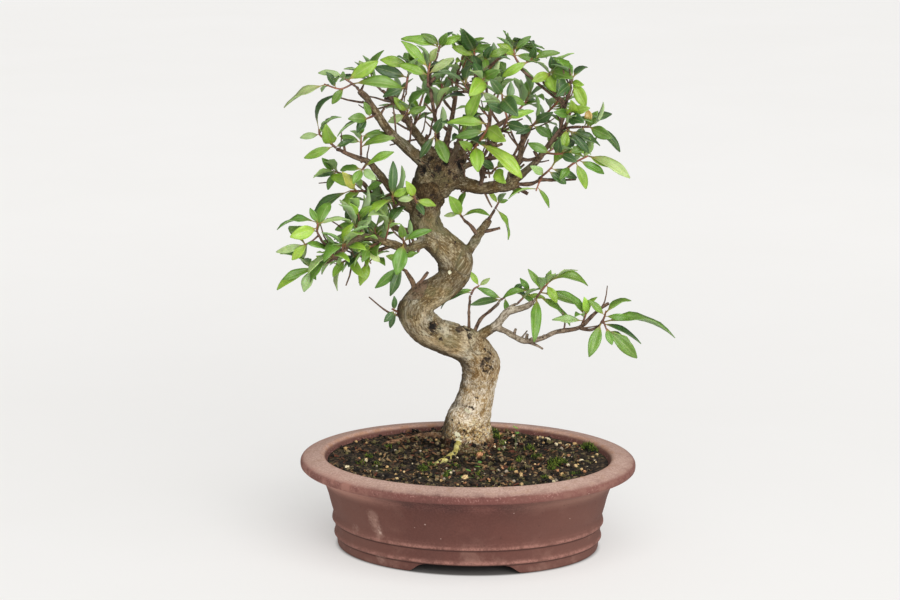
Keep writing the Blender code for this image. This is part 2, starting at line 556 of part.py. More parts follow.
def pot_profile():
    """The wall's outline as (inset from the rim's edge, height), from the foot to the floor."""
    outline = [(FOOT_INSET + FOOT_ROUND, 0), (FOOT_INSET, FOOT_ROUND)]

    def outer_inset(height):
        share = (height - FOOT_ROUND) / (POT_HEIGHT - FOOT_ROUND)
        return FOOT_INSET + (BODY_INSET - FOOT_INSET) * share

    for bottom, top in BANDS:
        crest = bottom + (top - bottom) * BAND_CREST
        for height, rise in ((bottom, 0), (crest, BAND_RISE), (top, 0)):
            outline.append((outer_inset(height) - rise, height))
    lip_bottom = POT_HEIGHT - RIM_SLOPE - LIP_THICK
    rim_edge = POT_HEIGHT - RIM_SLOPE
    floor = FOOT_HEIGHT + FLOOR_THICK
    for out, down in COVE:
        outline.append((outer_inset(lip_bottom - down) - out, lip_bottom - down))
    outline += [(0, lip_bottom + LIP_ROUND), (0, rim_edge - LIP_ROUND), (LIP_ROUND, rim_edge),
                (RIM_WIDTH - 2 * MM, POT_HEIGHT)]
    outline += [(into, POT_HEIGHT - down) for into, down in INSIDE]
    outline += [(FOOT_INSET + WALL, floor + FLOOR_FILLET[1]),
                (FOOT_INSET + WALL + FLOOR_FILLET[0], floor)]
    return outline


def oval(inset, height):
    """One ring of the pot, inset by the same width all round from the rim's outer edge."""
    ring = []
    for side in range(POT_SIDES):
        turn = math.tau * side / POT_SIDES
        ring.append(Vector((POT_X + (POT_LENGTH / 2 - inset) * math.cos(turn),
                            (POT_WIDTH / 2 - inset) * math.sin(turn), height)))
    return ring


def lofted(rings):
    """A closed solid through rings of equal count, capped at both ends."""
    sides = len(rings[0])
    points = [point for ring in rings for point in ring]
    faces = [tuple(range(sides)), tuple(range(len(points) - sides, len(points)))]
    for ring in range(len(rings) - 1):
        for side in range(sides):
            near = ring * sides + side
            next_side = ring * sides + (side + 1) % sides
            faces.append((near, next_side, next_side + sides, near + sides))
    return points, faces


def make_pot():
    """Fired clay tray: turned out in rings, with a recessed underside, foot notches and drains."""
    rings = [oval(FOOT_INSET + FOOT_WIDTH + 1.5 * MM, FOOT_HEIGHT),
             oval(FOOT_INSET + FOOT_WIDTH, 0)]
    rings += [oval(inset, height) for inset, height in pot_profile()]
    pot = object_from("pot", *lofted(rings), "pot")
    cutters = [foot_notch(front) for front in (-1, 1)]
    for side in (-1, 1):
        middle = Vector((POT_X + side * DRAIN_SPACING / 2, 0, 0))
        ends = [middle, middle + Vector((0, 0, FOOT_HEIGHT + 2 * FLOOR_THICK))]
        cutters.append(object_from("drain_cutter", *tube(ends, [DRAIN_RADIUS] * 2, DRAIN_SIDES)))
    boolean(pot, "DIFFERENCE", cutters)
    pot.data.shade_smooth()
    pot.data.set_sharp_from_angle(angle=SHARP_ANGLE)
    return pot


def foot_notch(front):
    """A wedge that opens the foot skirt in front or behind, wider at the table."""
    half = NOTCH_WIDTH / 2
    low = -1 * MM
    outline = [(-half - NOTCH_FLARE, low), (half + NOTCH_FLARE, low),
               (half + NOTCH_FLARE, 1 * MM), (half - NOTCH_FLARE / 2, FOOT_HEIGHT),
               (-half + NOTCH_FLARE / 2, FOOT_HEIGHT), (-half - NOTCH_FLARE, 1 * MM)]
    near = front * (POT_WIDTH / 2 - FOOT_INSET - FOOT_WIDTH - 12 * MM)
    far = front * POT_WIDTH / 2
    middle = POT_X - front * NOTCH_SHIFT
    rings = [[Vector((middle + x, y, z)) for x, z in outline] for y in (near, far)]
    return object_from("notch_cutter", *lofted(rings))


# Drain screens and soil

def make_screen(name, side):
    """A square plastic screen over one drain hole, with small square holes."""
    middle = Vector((POT_X + side * DRAIN_SPACING / 2, 0,
                     FOOT_HEIGHT + FLOOR_THICK + GAP + SCREEN_THICK / 2))
    screen = block(name, middle, (SCREEN_SIDE, SCREEN_SIDE, SCREEN_THICK), "screen")
    pitch = (SCREEN_SIDE - SCREEN_BAR) / SCREEN_HOLES
    hole = pitch - SCREEN_BAR
    holes = []
    for column in range(SCREEN_HOLES):
        for row in range(SCREEN_HOLES):
            shift = Vector(((column - (SCREEN_HOLES - 1) / 2) * pitch,
                            (row - (SCREEN_HOLES - 1) / 2) * pitch, 0))
            holes.append(block("hole_cutter", middle + shift, (hole, hole, 3 * SCREEN_THICK)))
    boolean(screen, "DIFFERENCE", holes)
    return screen


def block(name, middle, size, finish=None):
    """A plain box, its mesh placed and scaled."""
    work = bmesh.new()
    bmesh.ops.create_cube(work, size=1)
    points = [middle + Vector((v.co.x * size[0], v.co.y * size[1], v.co.z * size[2]))
              for v in work.verts]
    faces = [tuple(v.index for v in face.verts) for face in work.faces]
    work.free()
    return object_from(name, points, faces, finish)


def soil_height(point):
    """The soil's top: a mound round the trunk, with small waves over it."""
    foot = spot(*TRUNK[2][:3])
    reach = math.hypot(point.x - foot.x, point.y - foot.y) / MOUND_REACH
    along, deep, slant = SOIL_WAVES
    wave = (math.sin(point.x * along + 1.3) * math.cos(point.y * deep)
            + math.sin((point.x + 1.7 * point.y) * slant))
    return SOIL_EDGE + MOUND_RISE * math.exp(-reach * reach) + SOIL_BUMP * wave


def inner_inset(height):
    """The inside wall's inset at a height, read from the pot's own outline, plus the gap."""
    inside = pot_profile()[-5:]
    for (wide, top), (narrow, bottom) in zip(inside, inside[1:]):
        if bottom <= height <= top:
            share = (top - height) / (top - bottom)
            return wide + (narrow - wide) * share + GAP
    return inside[-1][0] + GAP


def make_soil():
    """The soil fills the pot up to its mound, with room for the roots and the drain screens."""
    floor = FOOT_HEIGHT + FLOOR_THICK + GAP
    heights = [floor, floor + FLOOR_FILLET[1], POT_HEIGHT - INSIDE[2][1], POT_HEIGHT - INSIDE[1][1]]
    rings = [oval(inner_inset(height) + SOIL_FIT, height) for height in heights]
    edge = oval(inner_inset(SOIL_EDGE) + SOIL_FIT, SOIL_EDGE)
    centre = Vector((POT_X, 0, 0))
    for ring in range(SOIL_RINGS):
        share = 1 - ring / SOIL_RINGS
        row = []
        for point in edge:
            flat = centre + (Vector((point.x, point.y, 0)) - centre) * share
            flat.z = SOIL_EDGE if ring == 0 else soil_height(flat)
            row.append(flat)
        rings.append(row)
    soil = object_from("soil", *lofted(rings), "soil")
    cutters = [object_from("trunk_room", *trunk_points(grow=ROOM))]
    for root in ROOTS:
        points, radii = limb_route(root, grow=ROOM)
        points[-1] += (points[-1] - points[-2]).normalized() * ROOM
        cutters.append(object_from("root_room", *tube(points, radii, LIMB_SIDES)))
    for side in (-1, 1):
        middle = Vector((POT_X + side * DRAIN_SPACING / 2, 0, floor))
        size = (SCREEN_SIDE + 2 * GAP, SCREEN_SIDE + 2 * GAP, 2 * (SCREEN_THICK + GAP))
        cutters.append(block("screen_room", middle, size))
    boolean(soil, "DIFFERENCE", cutters)
    keep_largest_shell(soil)
    return soil


# Wood

def limb_pieces():
    """Every limb as (points, radii, sides)."""
    return [(*limb_route(limb), LIMB_SIDES if limb[0] > THICK_LIMB else TWIG_SIDES)
            for limb in LIMBS.values()]


def carrier_of(start, heading, routes):
    """The limb's point that a shoot grows from: near it, below it and straight behind it."""
    best = None
    for points, radii in routes:
        for a, b, ra, rb in zip(points, points[1:], radii, radii[1:]):
            for step in range(5):
                t = step / 4
                point = a.lerp(b, t)
                reach = start - point
                away = reach.length * (1.7 - reach.normalized().dot(heading))
                if point.z > start.z + 2 * MM:
                    away *= 1.5
                if best is None or away < best[0]:
                    best = (away, point, ra + (rb - ra) * t)
    return best[1], best[2]


def twig_to(start, heading, routes):
    """A woody twig from the nearest limb to just short of a shoot's foot."""
    carrier, radius = carrier_of(start, heading, routes)
    point = carrier.copy()
    end = start - heading * 1.2 * GAP
    reach = (end - point).length
    thick = min(radius * 0.9, TWIG_HALF * UNIT)
    point -= (end - point).normalized() * radius * 0.6
    neck = end - heading * min(0.35 * reach, 3 * MM)
    return [point, neck, end], [thick, thick, SHOOT_HALF * UNIT * 1.1]


def make_trunk(stems):
    """The wood that grew as one: trunk, roots, limbs and a twig to the foot of each shoot."""
    trunk = object_from("trunk", *trunk_points(), "bark")
    pieces = limb_pieces()
    routes = [(points, radii) for points, radii, _ in pieces]
    above_soil = TRUNK[4:]
    routes.append(([spot(*s[:3]) for s in above_soil], [s[3] * UNIT for s in above_soil]))
    pieces += [(*limb_route(root), LIMB_SIDES) for root in ROOTS]
    for stem in stems:
        heading = (stem[1] - stem[0]).normalized()
        pieces.append((*twig_to(stem[0], heading, routes), SHOOT_SIDES))
    joined = [object_from("limb", *tube(points, radii, sides)) for points, radii, sides in pieces]
    boolean(trunk, "UNION", joined)
    keep_largest_shell(trunk)
    trunk.data.shade_smooth()
    trunk.data.set_sharp_from_angle(angle=BARK_SHARP_ANGLE)
    return trunk


# Leaves

class Leaf:
    """One blade: where it roots, where its tip is, which way it faces and how wide it is."""

    def __init__(self, root, tip, face, width, bow):
        self.root = root
        self.tip = tip
        self.face = face
        self.width = width
        self.bow = bow

    def solid(self, grow=0.0, blade_only=False):
        """Points and faces of the thin closed blade; grow fattens it all round."""
        along = self.tip - self.root
        length = along.length
        heading = along.normalized()
        side = heading.cross(self.face).normalized()
        normal = side.cross(heading)
        stations = LEAF_STATIONS if length > SHORT_LEAF else SHORT_STATIONS
        points = []
        if not blade_only:
            points.append(self.root - heading * 0.4 * MM)
        for share, wide, thick in stations:
            middle = self.root + along * share
            middle += normal * (self.bow * length * 4 * share * (1 - share))
            half = max(STALK_HALF, wide * self.width / 2) + grow
            lift = math.sin(LEAF_FOLD) * half * wide
            edge = normal * lift
            rib = normal * (BLADE_THICK * thick / 2 + grow)
            points += [middle + side * half + edge, middle + rib,
                       middle - side * half + edge, middle - rib]
        points.append(self.tip + heading * grow)
        return points, leaf_faces(len(stations), blade_only)


def leaf_faces(stations, blade_only):
    """Triangles of a blade, split alike on its upper and lower faces."""
    faces = []
    first = 0 if blade_only else 1
    if blade_only:
        faces.append((0, 1, 2, 3))
    else:
        faces += [(0, 1 + i, 1 + (i + 1) % 4) for i in range(4)]
    for station in range(stations - 1):
        base = first + 4 * station
        left, rib, right, under = range(base, base + 4)
        for middle in (rib, under):
            faces += [(left, middle, middle + 4), (left, middle + 4, left + 4),
                      (right, middle, middle + 4), (right, middle + 4, right + 4)]
    last = first + 4 * (stations - 1)
    faces += [(last + i, last + (i + 1) % 4, last + 4) for i in range(4)]
    return faces


class Space:
    """What is already placed, so that a new blade can be kept clear of it."""

    def __init__(self):
        self.placed = []

    def add(self, owner, points, faces):
        self.placed.append((owner, *corners(points), BVHTree.FromPolygons(points, faces)))

    def is_free(self, points, faces, ignore=()):
        low, high = corners(points)
        tree = BVHTree.FromPolygons(points, faces)
        for owner, other_low, other_high, other in self.placed:
            if owner in ignore:
                continue
            apart = any(low[i] > other_high[i] or high[i] < other_low[i] for i in range(3))
            if not apart and tree.overlap(other):
                return False
        return True


def corners(points):
    return ([min(p[i] for p in points) for i in range(3)],
            [max(p[i] for p in points) for i in range(3)])


def nearest_on(stems, across, down):
    """The point of the stems that the front view shows nearest to (across, down)."""
    best = None
    for stem in stems:
        for a, b in zip(stem, stem[1:]):
            for step in range(9):
                place = [p + (q - p) * step / 8 for p, q in zip(a, b)]
                away = math.hypot(place[0] - across, place[1] - down)
                if best is None or away < best[0]:
                    best = (away, place)
    return best[1]


def drawn_leaf(stems, drawn, shift):
    """A leaf of the front view: a short wide one comes toward the viewer or goes away."""
    across, down, tip_across, tip_down, wide, *bend = drawn
    place = nearest_on(stems, across, down)
    root = spot(*place)
    seen = math.hypot(tip_across - place[0], tip_down - place[1])
    width = max(wide, LEAF_USUAL_RATIO * seen) * UNIT
    length = max(seen * UNIT, LEAF_LEAST_RATIO * width)
    forth = math.sqrt(max(length ** 2 - (seen * UNIT) ** 2, 0)) / MM
    side = -1 if place[2] < 20 else 1
    tip = spot(tip_across, tip_down, place[2] + side * forth * 0.8 + shift)
    tilt = math.acos(min(1, wide * UNIT / width))
    heading = (tip - root).normalized()
    front = toward_viewer()
    front = (front - heading * front.dot(heading)).normalized()
    upward = Vector((0, 0, 1)) - heading * heading.z
    upward = upward.normalized() if upward.length > 0.2 else front
    face = front * math.cos(tilt) + upward * max(math.sin(tilt), 0.25)
    return Leaf(root, tip, face.normalized(), width, bend[0] if bend else LEAF_BOW)


def ruled_leaf(stems, rng, index, turn, shrink):
    """A leaf of an opposite pair, the pairs set crosswise along the stems."""
    stem = [spot(*place) for place in stems[index % len(stems)]]
    share = rng.uniform(0.25, 1.0)
    place = share * (len(stem) - 1)
    step = min(int(place), len(stem) - 2)
    root = stem[step].lerp(stem[step + 1], place - step)
    tangent = (stem[step + 1] - stem[step]).normalized()
    across = tangent.orthogonal().normalized()
    angle = index * math.pi + (index // 2) * math.pi / 2 + rng.uniform(-RULED_SWING, RULED_SWING) + turn
    radial = across * math.cos(angle) + tangent.cross(across) * math.sin(angle)
    lean = math.radians(rng.uniform(*RULED_LEAN))
    heading = tangent * math.cos(lean) + radial * math.sin(lean)
    heading = (heading + Vector((0, 0, rng.uniform(*RULED_RISE)))).normalized()
    length = rng.uniform(*RULED_LENGTH) * shrink
    face = (Vector((0, 0, 1)) + radial * 0.4 + tangent * 0.6).normalized()
    if abs(face.dot(heading)) > 0.9:
        face = heading.orthogonal().normalized()
    return Leaf(root, root + heading * length, face, length * rng.uniform(*RULED_RATIO), LEAF_BOW)


def placed_leaf(tries, space, own):
    """The first of the tries that is clear of everything, or nothing."""
    for leaf in tries:
        blade = leaf.solid(grow=CLEARANCE, blade_only=True)
        whole = leaf.solid(grow=CLEARANCE / 2)
        stalks, stems = ("stalk", own), ("stem", own)
        if (space.is_free(*blade, ignore=(stalks,))
                and space.is_free(*whole, ignore=(own, stalks, stems))):
            space.add(own, *leaf.solid(blade_only=True))
            space.add(stalks, *leaf.solid())
            return leaf
    return None


def drawn_tries(stems, drawn):
    for shift in SHIFTS:
        yield drawn_leaf(stems, drawn, shift)


def ruled_tries(stems, seed, index):
    for attempt in range(24):
        rng = random.Random(f"{seed} {index} {attempt // 8}")
        leaf = ruled_leaf(stems, rng, index, attempt % 8 * math.tau / 8, 1 - 0.015 * attempt)
        if is_in_outline(leaf.tip):
            yield leaf


def leaves_of(number, spray, space):
    stems, drawn_leaves, more = spray
    leaves = [placed_leaf(drawn_tries(stems, drawn), space, number) for drawn in drawn_leaves]
    leaves += [placed_leaf(ruled_tries(stems, SEED + number, index), space, number)
               for index in range(math.ceil(more * RULED_SHARE))]
    found = [leaf for leaf in leaves if leaf]
    if len(found) < len(leaves):
        print(f"spray {number}: {len(leaves) - len(found)} leaves had no room")
    return found


def stem_route(stem, main):
    """A green shoot, tapering to its tip; a side stem starts inside the main one."""
    points = [spot(*place) for place in stem]
    count = len(points)
    start = SHOOT_HALF * UNIT * (1 if main else 0.85)
    radii = [start * (1 - 0.3 * i / (count - 1)) for i in range(count)]
    return points, radii


def make_spray(number, spray, leaves):
    """The shoot, its side stem and its leaves, joined in one body."""
    stems = [object_from("stem", *tube(*stem_route(stem, i == 0), SHOOT_SIDES))
             for i, stem in enumerate(spray[0])]
    body = stems[0]
    body.name = f"spray_{number:02d}"
    body.data.name = body.name
    body.data.materials.append(material_of("leaf"))
    blades = [object_from("blade", *leaf.solid()) for leaf in leaves]
    boolean(body, "UNION", stems[1:] + blades)
    keep_largest_shell(body)
    return body


def make_tree():
    """Wood first, then every shoot, then leaf by leaf into the room that is left."""
    space = Space()
    trunk = make_trunk([[spot(*place) for place in spray[0][0]] for spray in SPRAYS])
    mesh = trunk.data
    wood = [v.co.copy() for v in mesh.vertices], [tuple(p.vertices) for p in mesh.polygons]
    space.add("wood", *wood)
    for number, spray in enumerate(SPRAYS, 1):
        for i, stem in enumerate(spray[0]):
            points, radii = stem_route(stem, i == 0)
            fat = tube(points, [r + CLEARANCE / 2 for r in radii], SHOOT_SIDES)
            if not space.is_free(*fat, ignore=(("stem", number),)):
                print(f"spray {number}: stem {i} touches something")
            space.add(("stem", number), *tube(points, radii, SHOOT_SIDES))
    total = 0
    for number, spray in enumerate(SPRAYS, 1):
        leaves = leaves_of(number, spray, space)
        total += len(leaves)
        make_spray(number, spray, leaves)
    print(f"{total} leaves")


def main():
    clear_scene()
    make_pot()
    make_screen("drain_mesh_left", -1)
    make_screen("drain_mesh_right", 1)
    make_soil()
    make_tree()


main()
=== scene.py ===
# %% [markdown]
# # A pomegranate bonsai in its pot
#
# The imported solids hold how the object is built: an oval clay pot, two drain screens, the soil,
# the wood and fifty-five leafy shoots. This lesson gives each of them its fine shape and its
# finish. The solids are loaded first, so that every new piece can be laid where its solid is.

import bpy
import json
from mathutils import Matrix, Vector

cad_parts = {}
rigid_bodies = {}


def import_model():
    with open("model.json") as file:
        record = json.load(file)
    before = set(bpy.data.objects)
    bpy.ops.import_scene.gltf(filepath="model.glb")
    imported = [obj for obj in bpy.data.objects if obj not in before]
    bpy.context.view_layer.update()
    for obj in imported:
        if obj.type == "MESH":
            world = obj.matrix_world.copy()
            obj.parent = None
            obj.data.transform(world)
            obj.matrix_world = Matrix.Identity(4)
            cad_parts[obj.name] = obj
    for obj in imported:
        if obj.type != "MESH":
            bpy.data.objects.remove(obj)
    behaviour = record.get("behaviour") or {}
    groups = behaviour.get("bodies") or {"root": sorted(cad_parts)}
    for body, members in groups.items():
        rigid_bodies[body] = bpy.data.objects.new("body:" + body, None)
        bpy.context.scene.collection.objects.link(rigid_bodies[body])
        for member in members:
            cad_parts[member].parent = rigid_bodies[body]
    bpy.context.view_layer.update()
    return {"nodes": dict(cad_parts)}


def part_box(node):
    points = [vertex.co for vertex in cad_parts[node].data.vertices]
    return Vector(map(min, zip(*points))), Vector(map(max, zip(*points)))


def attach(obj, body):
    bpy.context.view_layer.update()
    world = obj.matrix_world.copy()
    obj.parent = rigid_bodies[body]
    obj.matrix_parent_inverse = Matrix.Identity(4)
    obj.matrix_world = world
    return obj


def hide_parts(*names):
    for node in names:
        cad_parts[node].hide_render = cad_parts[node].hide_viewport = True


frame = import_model()

# %% What the lesson uses
import json
import math
import random

import bpy
import numpy as np
from mathutils import Matrix, Vector, noise
from mathutils.kdtree import KDTree

MM = 0.001
SEED = 31

# %% [markdown]
# ## The front view
#
# The tree is known from one side, so it was drawn in a front view of 900 by 600 units, with a
# depth in millimetres for each point. `spot` turns such a drawing point into a place in metres.
# The camera stands at the same eye, so what is drawn at a point is also seen there.

# %% Front view
VIEW_DISTANCE = 1500 * MM
VIEW_FOCAL = 2540  # drawing units
VIEW_RISE = math.radians(12.5)
VIEW_TURN = math.radians(6.9)
VIEW_SIZE = (900, 600)
LOOK_AT = Vector((-10.5, 0, 150.4)) * MM
UNIT = VIEW_DISTANCE / VIEW_FOCAL
POT_X = -7.0 * MM

FORWARD = Vector((0, math.cos(VIEW_RISE), -math.sin(VIEW_RISE)))
UPWARD = Vector((0, math.sin(VIEW_RISE), math.cos(VIEW_RISE)))
EYE = LOOK_AT - FORWARD * VIEW_DISTANCE
TURNED = Matrix.Rotation(VIEW_TURN, 3, "Z")
TOWARD_VIEWER = TURNED @ Vector((0, -1, 0))


def spot(across, down, depth):
    """The place that the front view shows at (across, down), depth mm behind the pot's middle."""
    ray = FORWARD * VIEW_FOCAL + UPWARD * (VIEW_SIZE[1] / 2 - down)
    ray.x = across - VIEW_SIZE[0] / 2
    place = EYE + ray * ((depth * MM - EYE.y) / ray.y)
    return TURNED @ place + Vector((POT_X, 0, 0))


def drawing_point(place):
    """Where the front view shows a place."""
    from_eye = TURNED.inverted() @ (place - Vector((POT_X, 0, 0))) - EYE
    scale = VIEW_FOCAL / from_eye.dot(FORWARD)
    return (VIEW_SIZE[0] / 2 + from_eye.x * scale, VIEW_SIZE[1] / 2 - from_eye.dot(UPWARD) * scale)


def seen_on(piece, across, down):
    """The first place on a piece that the front view shows at a drawing point."""
    bpy.context.view_layer.update()
    start = spot(across, down, -300)
    heading = (spot(across, down, 0) - start).normalized()
    return piece.ray_cast(start, heading)[1]


# %% Camera
bpy.ops.object.camera_add(location=TURNED @ EYE + Vector((POT_X, 0, 0)),
                          rotation=(math.pi / 2 - VIEW_RISE, 0, VIEW_TURN))
camera = bpy.context.object
camera.name = "camera"
camera.data.lens = VIEW_FOCAL / VIEW_SIZE[0] * camera.data.sensor_width
camera.data.clip_end = 100
bpy.context.scene.camera = camera
print("lens", round(camera.data.lens, 1), "mm")

# %% [markdown]
# ## The drawing of the tree
#
# These tables are the tree as drawn: the trunk's middle line with its half widths, its swellings,
# the roots, every limb, and the shoots with their leaves. The solids were made from the same
# drawing, and the fine pieces below follow it again with more points and round sections.

# %% Trunk, roots and limbs
def rows(table):
    """The rows of a drawn table, set apart by commas."""
    return tuple(tuple(map(float, row.split())) for row in table.split(",") if row.strip())


def bar(table):
    """A limb or a root: its two half widths from the first row, then its stations."""
    (start, end), *stations = rows(table)
    return (start, end, *stations)


# The trunk's middle line: across, down, depth, half width in drawing units
TRUNK = rows("""
467 476 30 22, 467 455 30 24, 467 438 30 24, 467.5 422 30 23, 471.5 410 29 20.5, 475 398 27 18.5,
478 385 25 17.5, 480.5 371 22 18.5, 478 358 18 18.5, 469 347 13 18, 453 340.5 8 17, 435 334 4 16.5,
421.5 324 1 17, 416.5 311 0 17, 422 299.5 2 16, 436 291 5 15, 449 281.5 8 14.5, 454.5 269 10 16.5,
453 256.5 8 17, 443 245.5 5 15, 431 234 3 14.5, 425 220 2 14.5, 425 207 2 15.5, 428 195 2 17,
434 182 2 20, 441 170 2 23, 443 158 2 18, 443 150 2 10
""")

# Swellings of the trunk: across, down, depth, reach and rise in drawing units
BURLS = rows("""
488 366 12 10 2.4, 500 362 22 12 1.6, 398 311 -2 12 1.8, 471 262 8 12 1.8, 463 333 2 12 1.6,
432 330 -6 9 1.4, 455 430 14 16 3, 490 436 26 14 3, 446 436 34 13 3, 416 196 -2 10 2.2,
461 163 -6 13 4, 428 172 -4 12 3, 446 292 -4 9 1.4, 447 258 -6 11 1.6
""")

# Roots: half widths at start and end in drawing units, then across, down, depth
ROOTS = [bar(root) for root in """
3.2 2.2, 458 436 26, 457 447 11, 450 456 -1, 440 461 -6, 431 466 -15;
4.5 2.5, 452 440 26, 436 436 36, 418 437 45, 402 440 41, 386 444 37;
5.5 3, 484 440 30, 498 446 28, 512 452 26, 526 462 20;
7 3, 456 452 24, 440 476 12, 420 494 0;
7 3, 480 452 24, 500 480 14, 524 496 2;
6 3, 470 452 40, 474 464 45, 480 478 48
""".split(";")]

# Limbs and woody twigs: name, half widths at start and end, then across, down, depth
LIMB_TABLE = """
low: 5.5 2.8, 472 341 12, 487 331 8, 495 326 5, 502 318 2, 509 311 0, 518 309 -2, 527 306 -3,
  533 302 -4;
low_hook: 2 1.5, 504 315 1, 510 307 1, 516 304 0;
low_outer: 3.3 1.8, 494 327 6, 505 331 1, 515 337 -3, 525 341 -7, 535 340 -9, 545 337 -11,
  556 332 -12, 575 329 -14, 583 325 -15, 590 318 -16, 600 309 -16, 609 303 -17;
low_dead: 2 1.2, 525 341 -7, 536 345 -6, 543 349 -6;
low_tip: 2.2 1.7, 579 328 -15, 590 330 -18, 597 327 -20;
cut_twig: 2 1.6, 469 338 12, 469 320 13, 469 309 15, 470 301 17;
cut_branch: 2.6 1.8, 472 338 12, 480 320 14, 490 311 16, 498 304 17;
stub: 5.5 3.8, 462 260 8, 468 251 9, 475 241 9, 480 233 9, 485 226 9, 489 220 8;
stub_left: 2.6 1.8, 478 236 9, 471 226 7, 465 221 6;
stub_right: 2.6 1.6, 482 232 9, 492 230 6, 500 228 5;
stub_tip: 2.4 1.7, 487 222 8, 494 211 9;
left_mid: 5.2 2.6, 434 240 4, 418 245 -2, 406 249 -6, 392 244 -10, 378 240 -13, 364 237 -16,
  352 243 -20, 342 251 -23, 334 258 -25;
left_mid_back: 2.6 1.8, 394 245 -9, 376 251 -3, 360 255 3, 352 257 5;
left_mid_tip: 2 1.7, 336 257 -25, 332 250 -27, 327 245 -29;
left_mid_end: 1.9 1.7, 336 257 -25, 326 263 -24, 319 266 -23;
left_spike: 2 1.7, 363 238 -16, 361 229 -17;
left_thorn: 1.3 0.7, 351 244 -20, 352 250 -20, 354 257 -20;
upper: 5.2 1.8, 420 213 2, 404 204 -2, 394 192 -5, 384 180 -8, 376 170 -10, 369 162 -12,
  358 158 -14, 348 154 -16, 338 149 -18;
upper_twig: 1.5 0.8, 394 222 12, 390 208 10, 386 195 9;
third: 3.7 1.8, 424 230 4, 404 231 8, 392 225 11, 383 214 13, 376 202 14, 369 191 15, 363 183 16,
  355 178 17, 345 175 18;
bulge_limb: 3.6 2.2, 421 301 2, 415 290 2, 412 281 0, 405 270 -2;
bulge_stub: 3 1.6, 414 289 1, 422 280 2, 428 272 4;
bulge_twig: 1.7 0.8, 406 317 0, 388 312 -4, 369 297 -10;
crown_left: 6.5 3, 434 170 2, 425 164 -2, 414 154 -6, 402 143 -12, 391 134 -16, 382 121 -20,
  374 109 -24, 366 97 -27, 359 91 -29;
crown_knuckle: 1.8 1.1, 360 93 -29, 364 84 -28;
crown_thorn: 1.5 0.8, 396 138 -14, 395 121 -12, 393 105 -12;
crown_inner: 5 1.9, 438 163 2, 424 143 2, 414 131 4, 406 118 6, 399 105 8, 391 98 9, 383 91 10;
crown_middle: 3 1.6, 440 164 0, 438 142 -4, 437 128 -8, 434 112 -10, 431 92 -12, 430 72 -14;
crown_front: 3.6 1.7, 447 170 -2, 455 152 -14, 463 132 -26, 470 110 -32, 474 88 -26, 476 72 -18;
right: 8 4.8, 444 180 2, 458 182 -2, 468 185 -5, 481 188 -8, 496 187 -11, 509 185 -14, 517 181 -16;
right_stump: 5 4, 508 184 -14, 512 173 -14;
right_stub: 3 2.2, 513 185 -15, 528 194 -16;
right_low: 2.6 1.5, 515 184 -16, 530 184 -17, 541 180 -17, 552 180 -17, 565 180 -16, 576 179 -15;
right_out: 3.7 2, 514 181 -15, 528 169 -21, 537 161 -25, 544 151 -28, 551 142 -30, 558 133 -31,
  563 128 -31;
right_out_up: 2.1 1.7, 561 130 -31, 563 115 -31, 566 103 -30, 569 94 -29, 571 87 -28;
right_up: 3.6 1.9, 512 182 -14, 517 166 -10, 521 152 -7, 524 140 -4, 530 130 -1;
right_front: 2.8 1.7, 480 187 -8, 484 172 -22, 490 156 -32, 497 140 -40, 503 128 -45;
inner_right: 3.6 1.8, 446 176 4, 458 170 12, 470 164 18, 484 160 22, 498 157 26, 513 157 28,
  528 160 30, 540 157 32;
pale: 2.5 1.6, 478 163 20, 487 150 20, 489 132 20, 490 114 20, 487 95 22, 486 78 24, 484 62 26;
snag: 7 3.6, 448 178 2, 459 166 -1, 466 154 -3;
back_left: 4.4 1.9, 440 168 5, 428 152 22, 418 138 36, 408 122 46;
back_middle: 3.6 1.7, 444 162 5, 447 140 22, 452 118 34, 456 92 39, 458 71 40;
back_right: 4.4 1.9, 446 168 6, 462 152 24, 480 138 38, 500 124 48, 512 116 52
"""
LIMBS = {}
for limb in LIMB_TABLE.split(";"):
    name, stations = limb.split(":")
    LIMBS[name.strip()] = bar(stations)
print(len(TRUNK), "trunk stations,", len(LIMBS), "limbs")

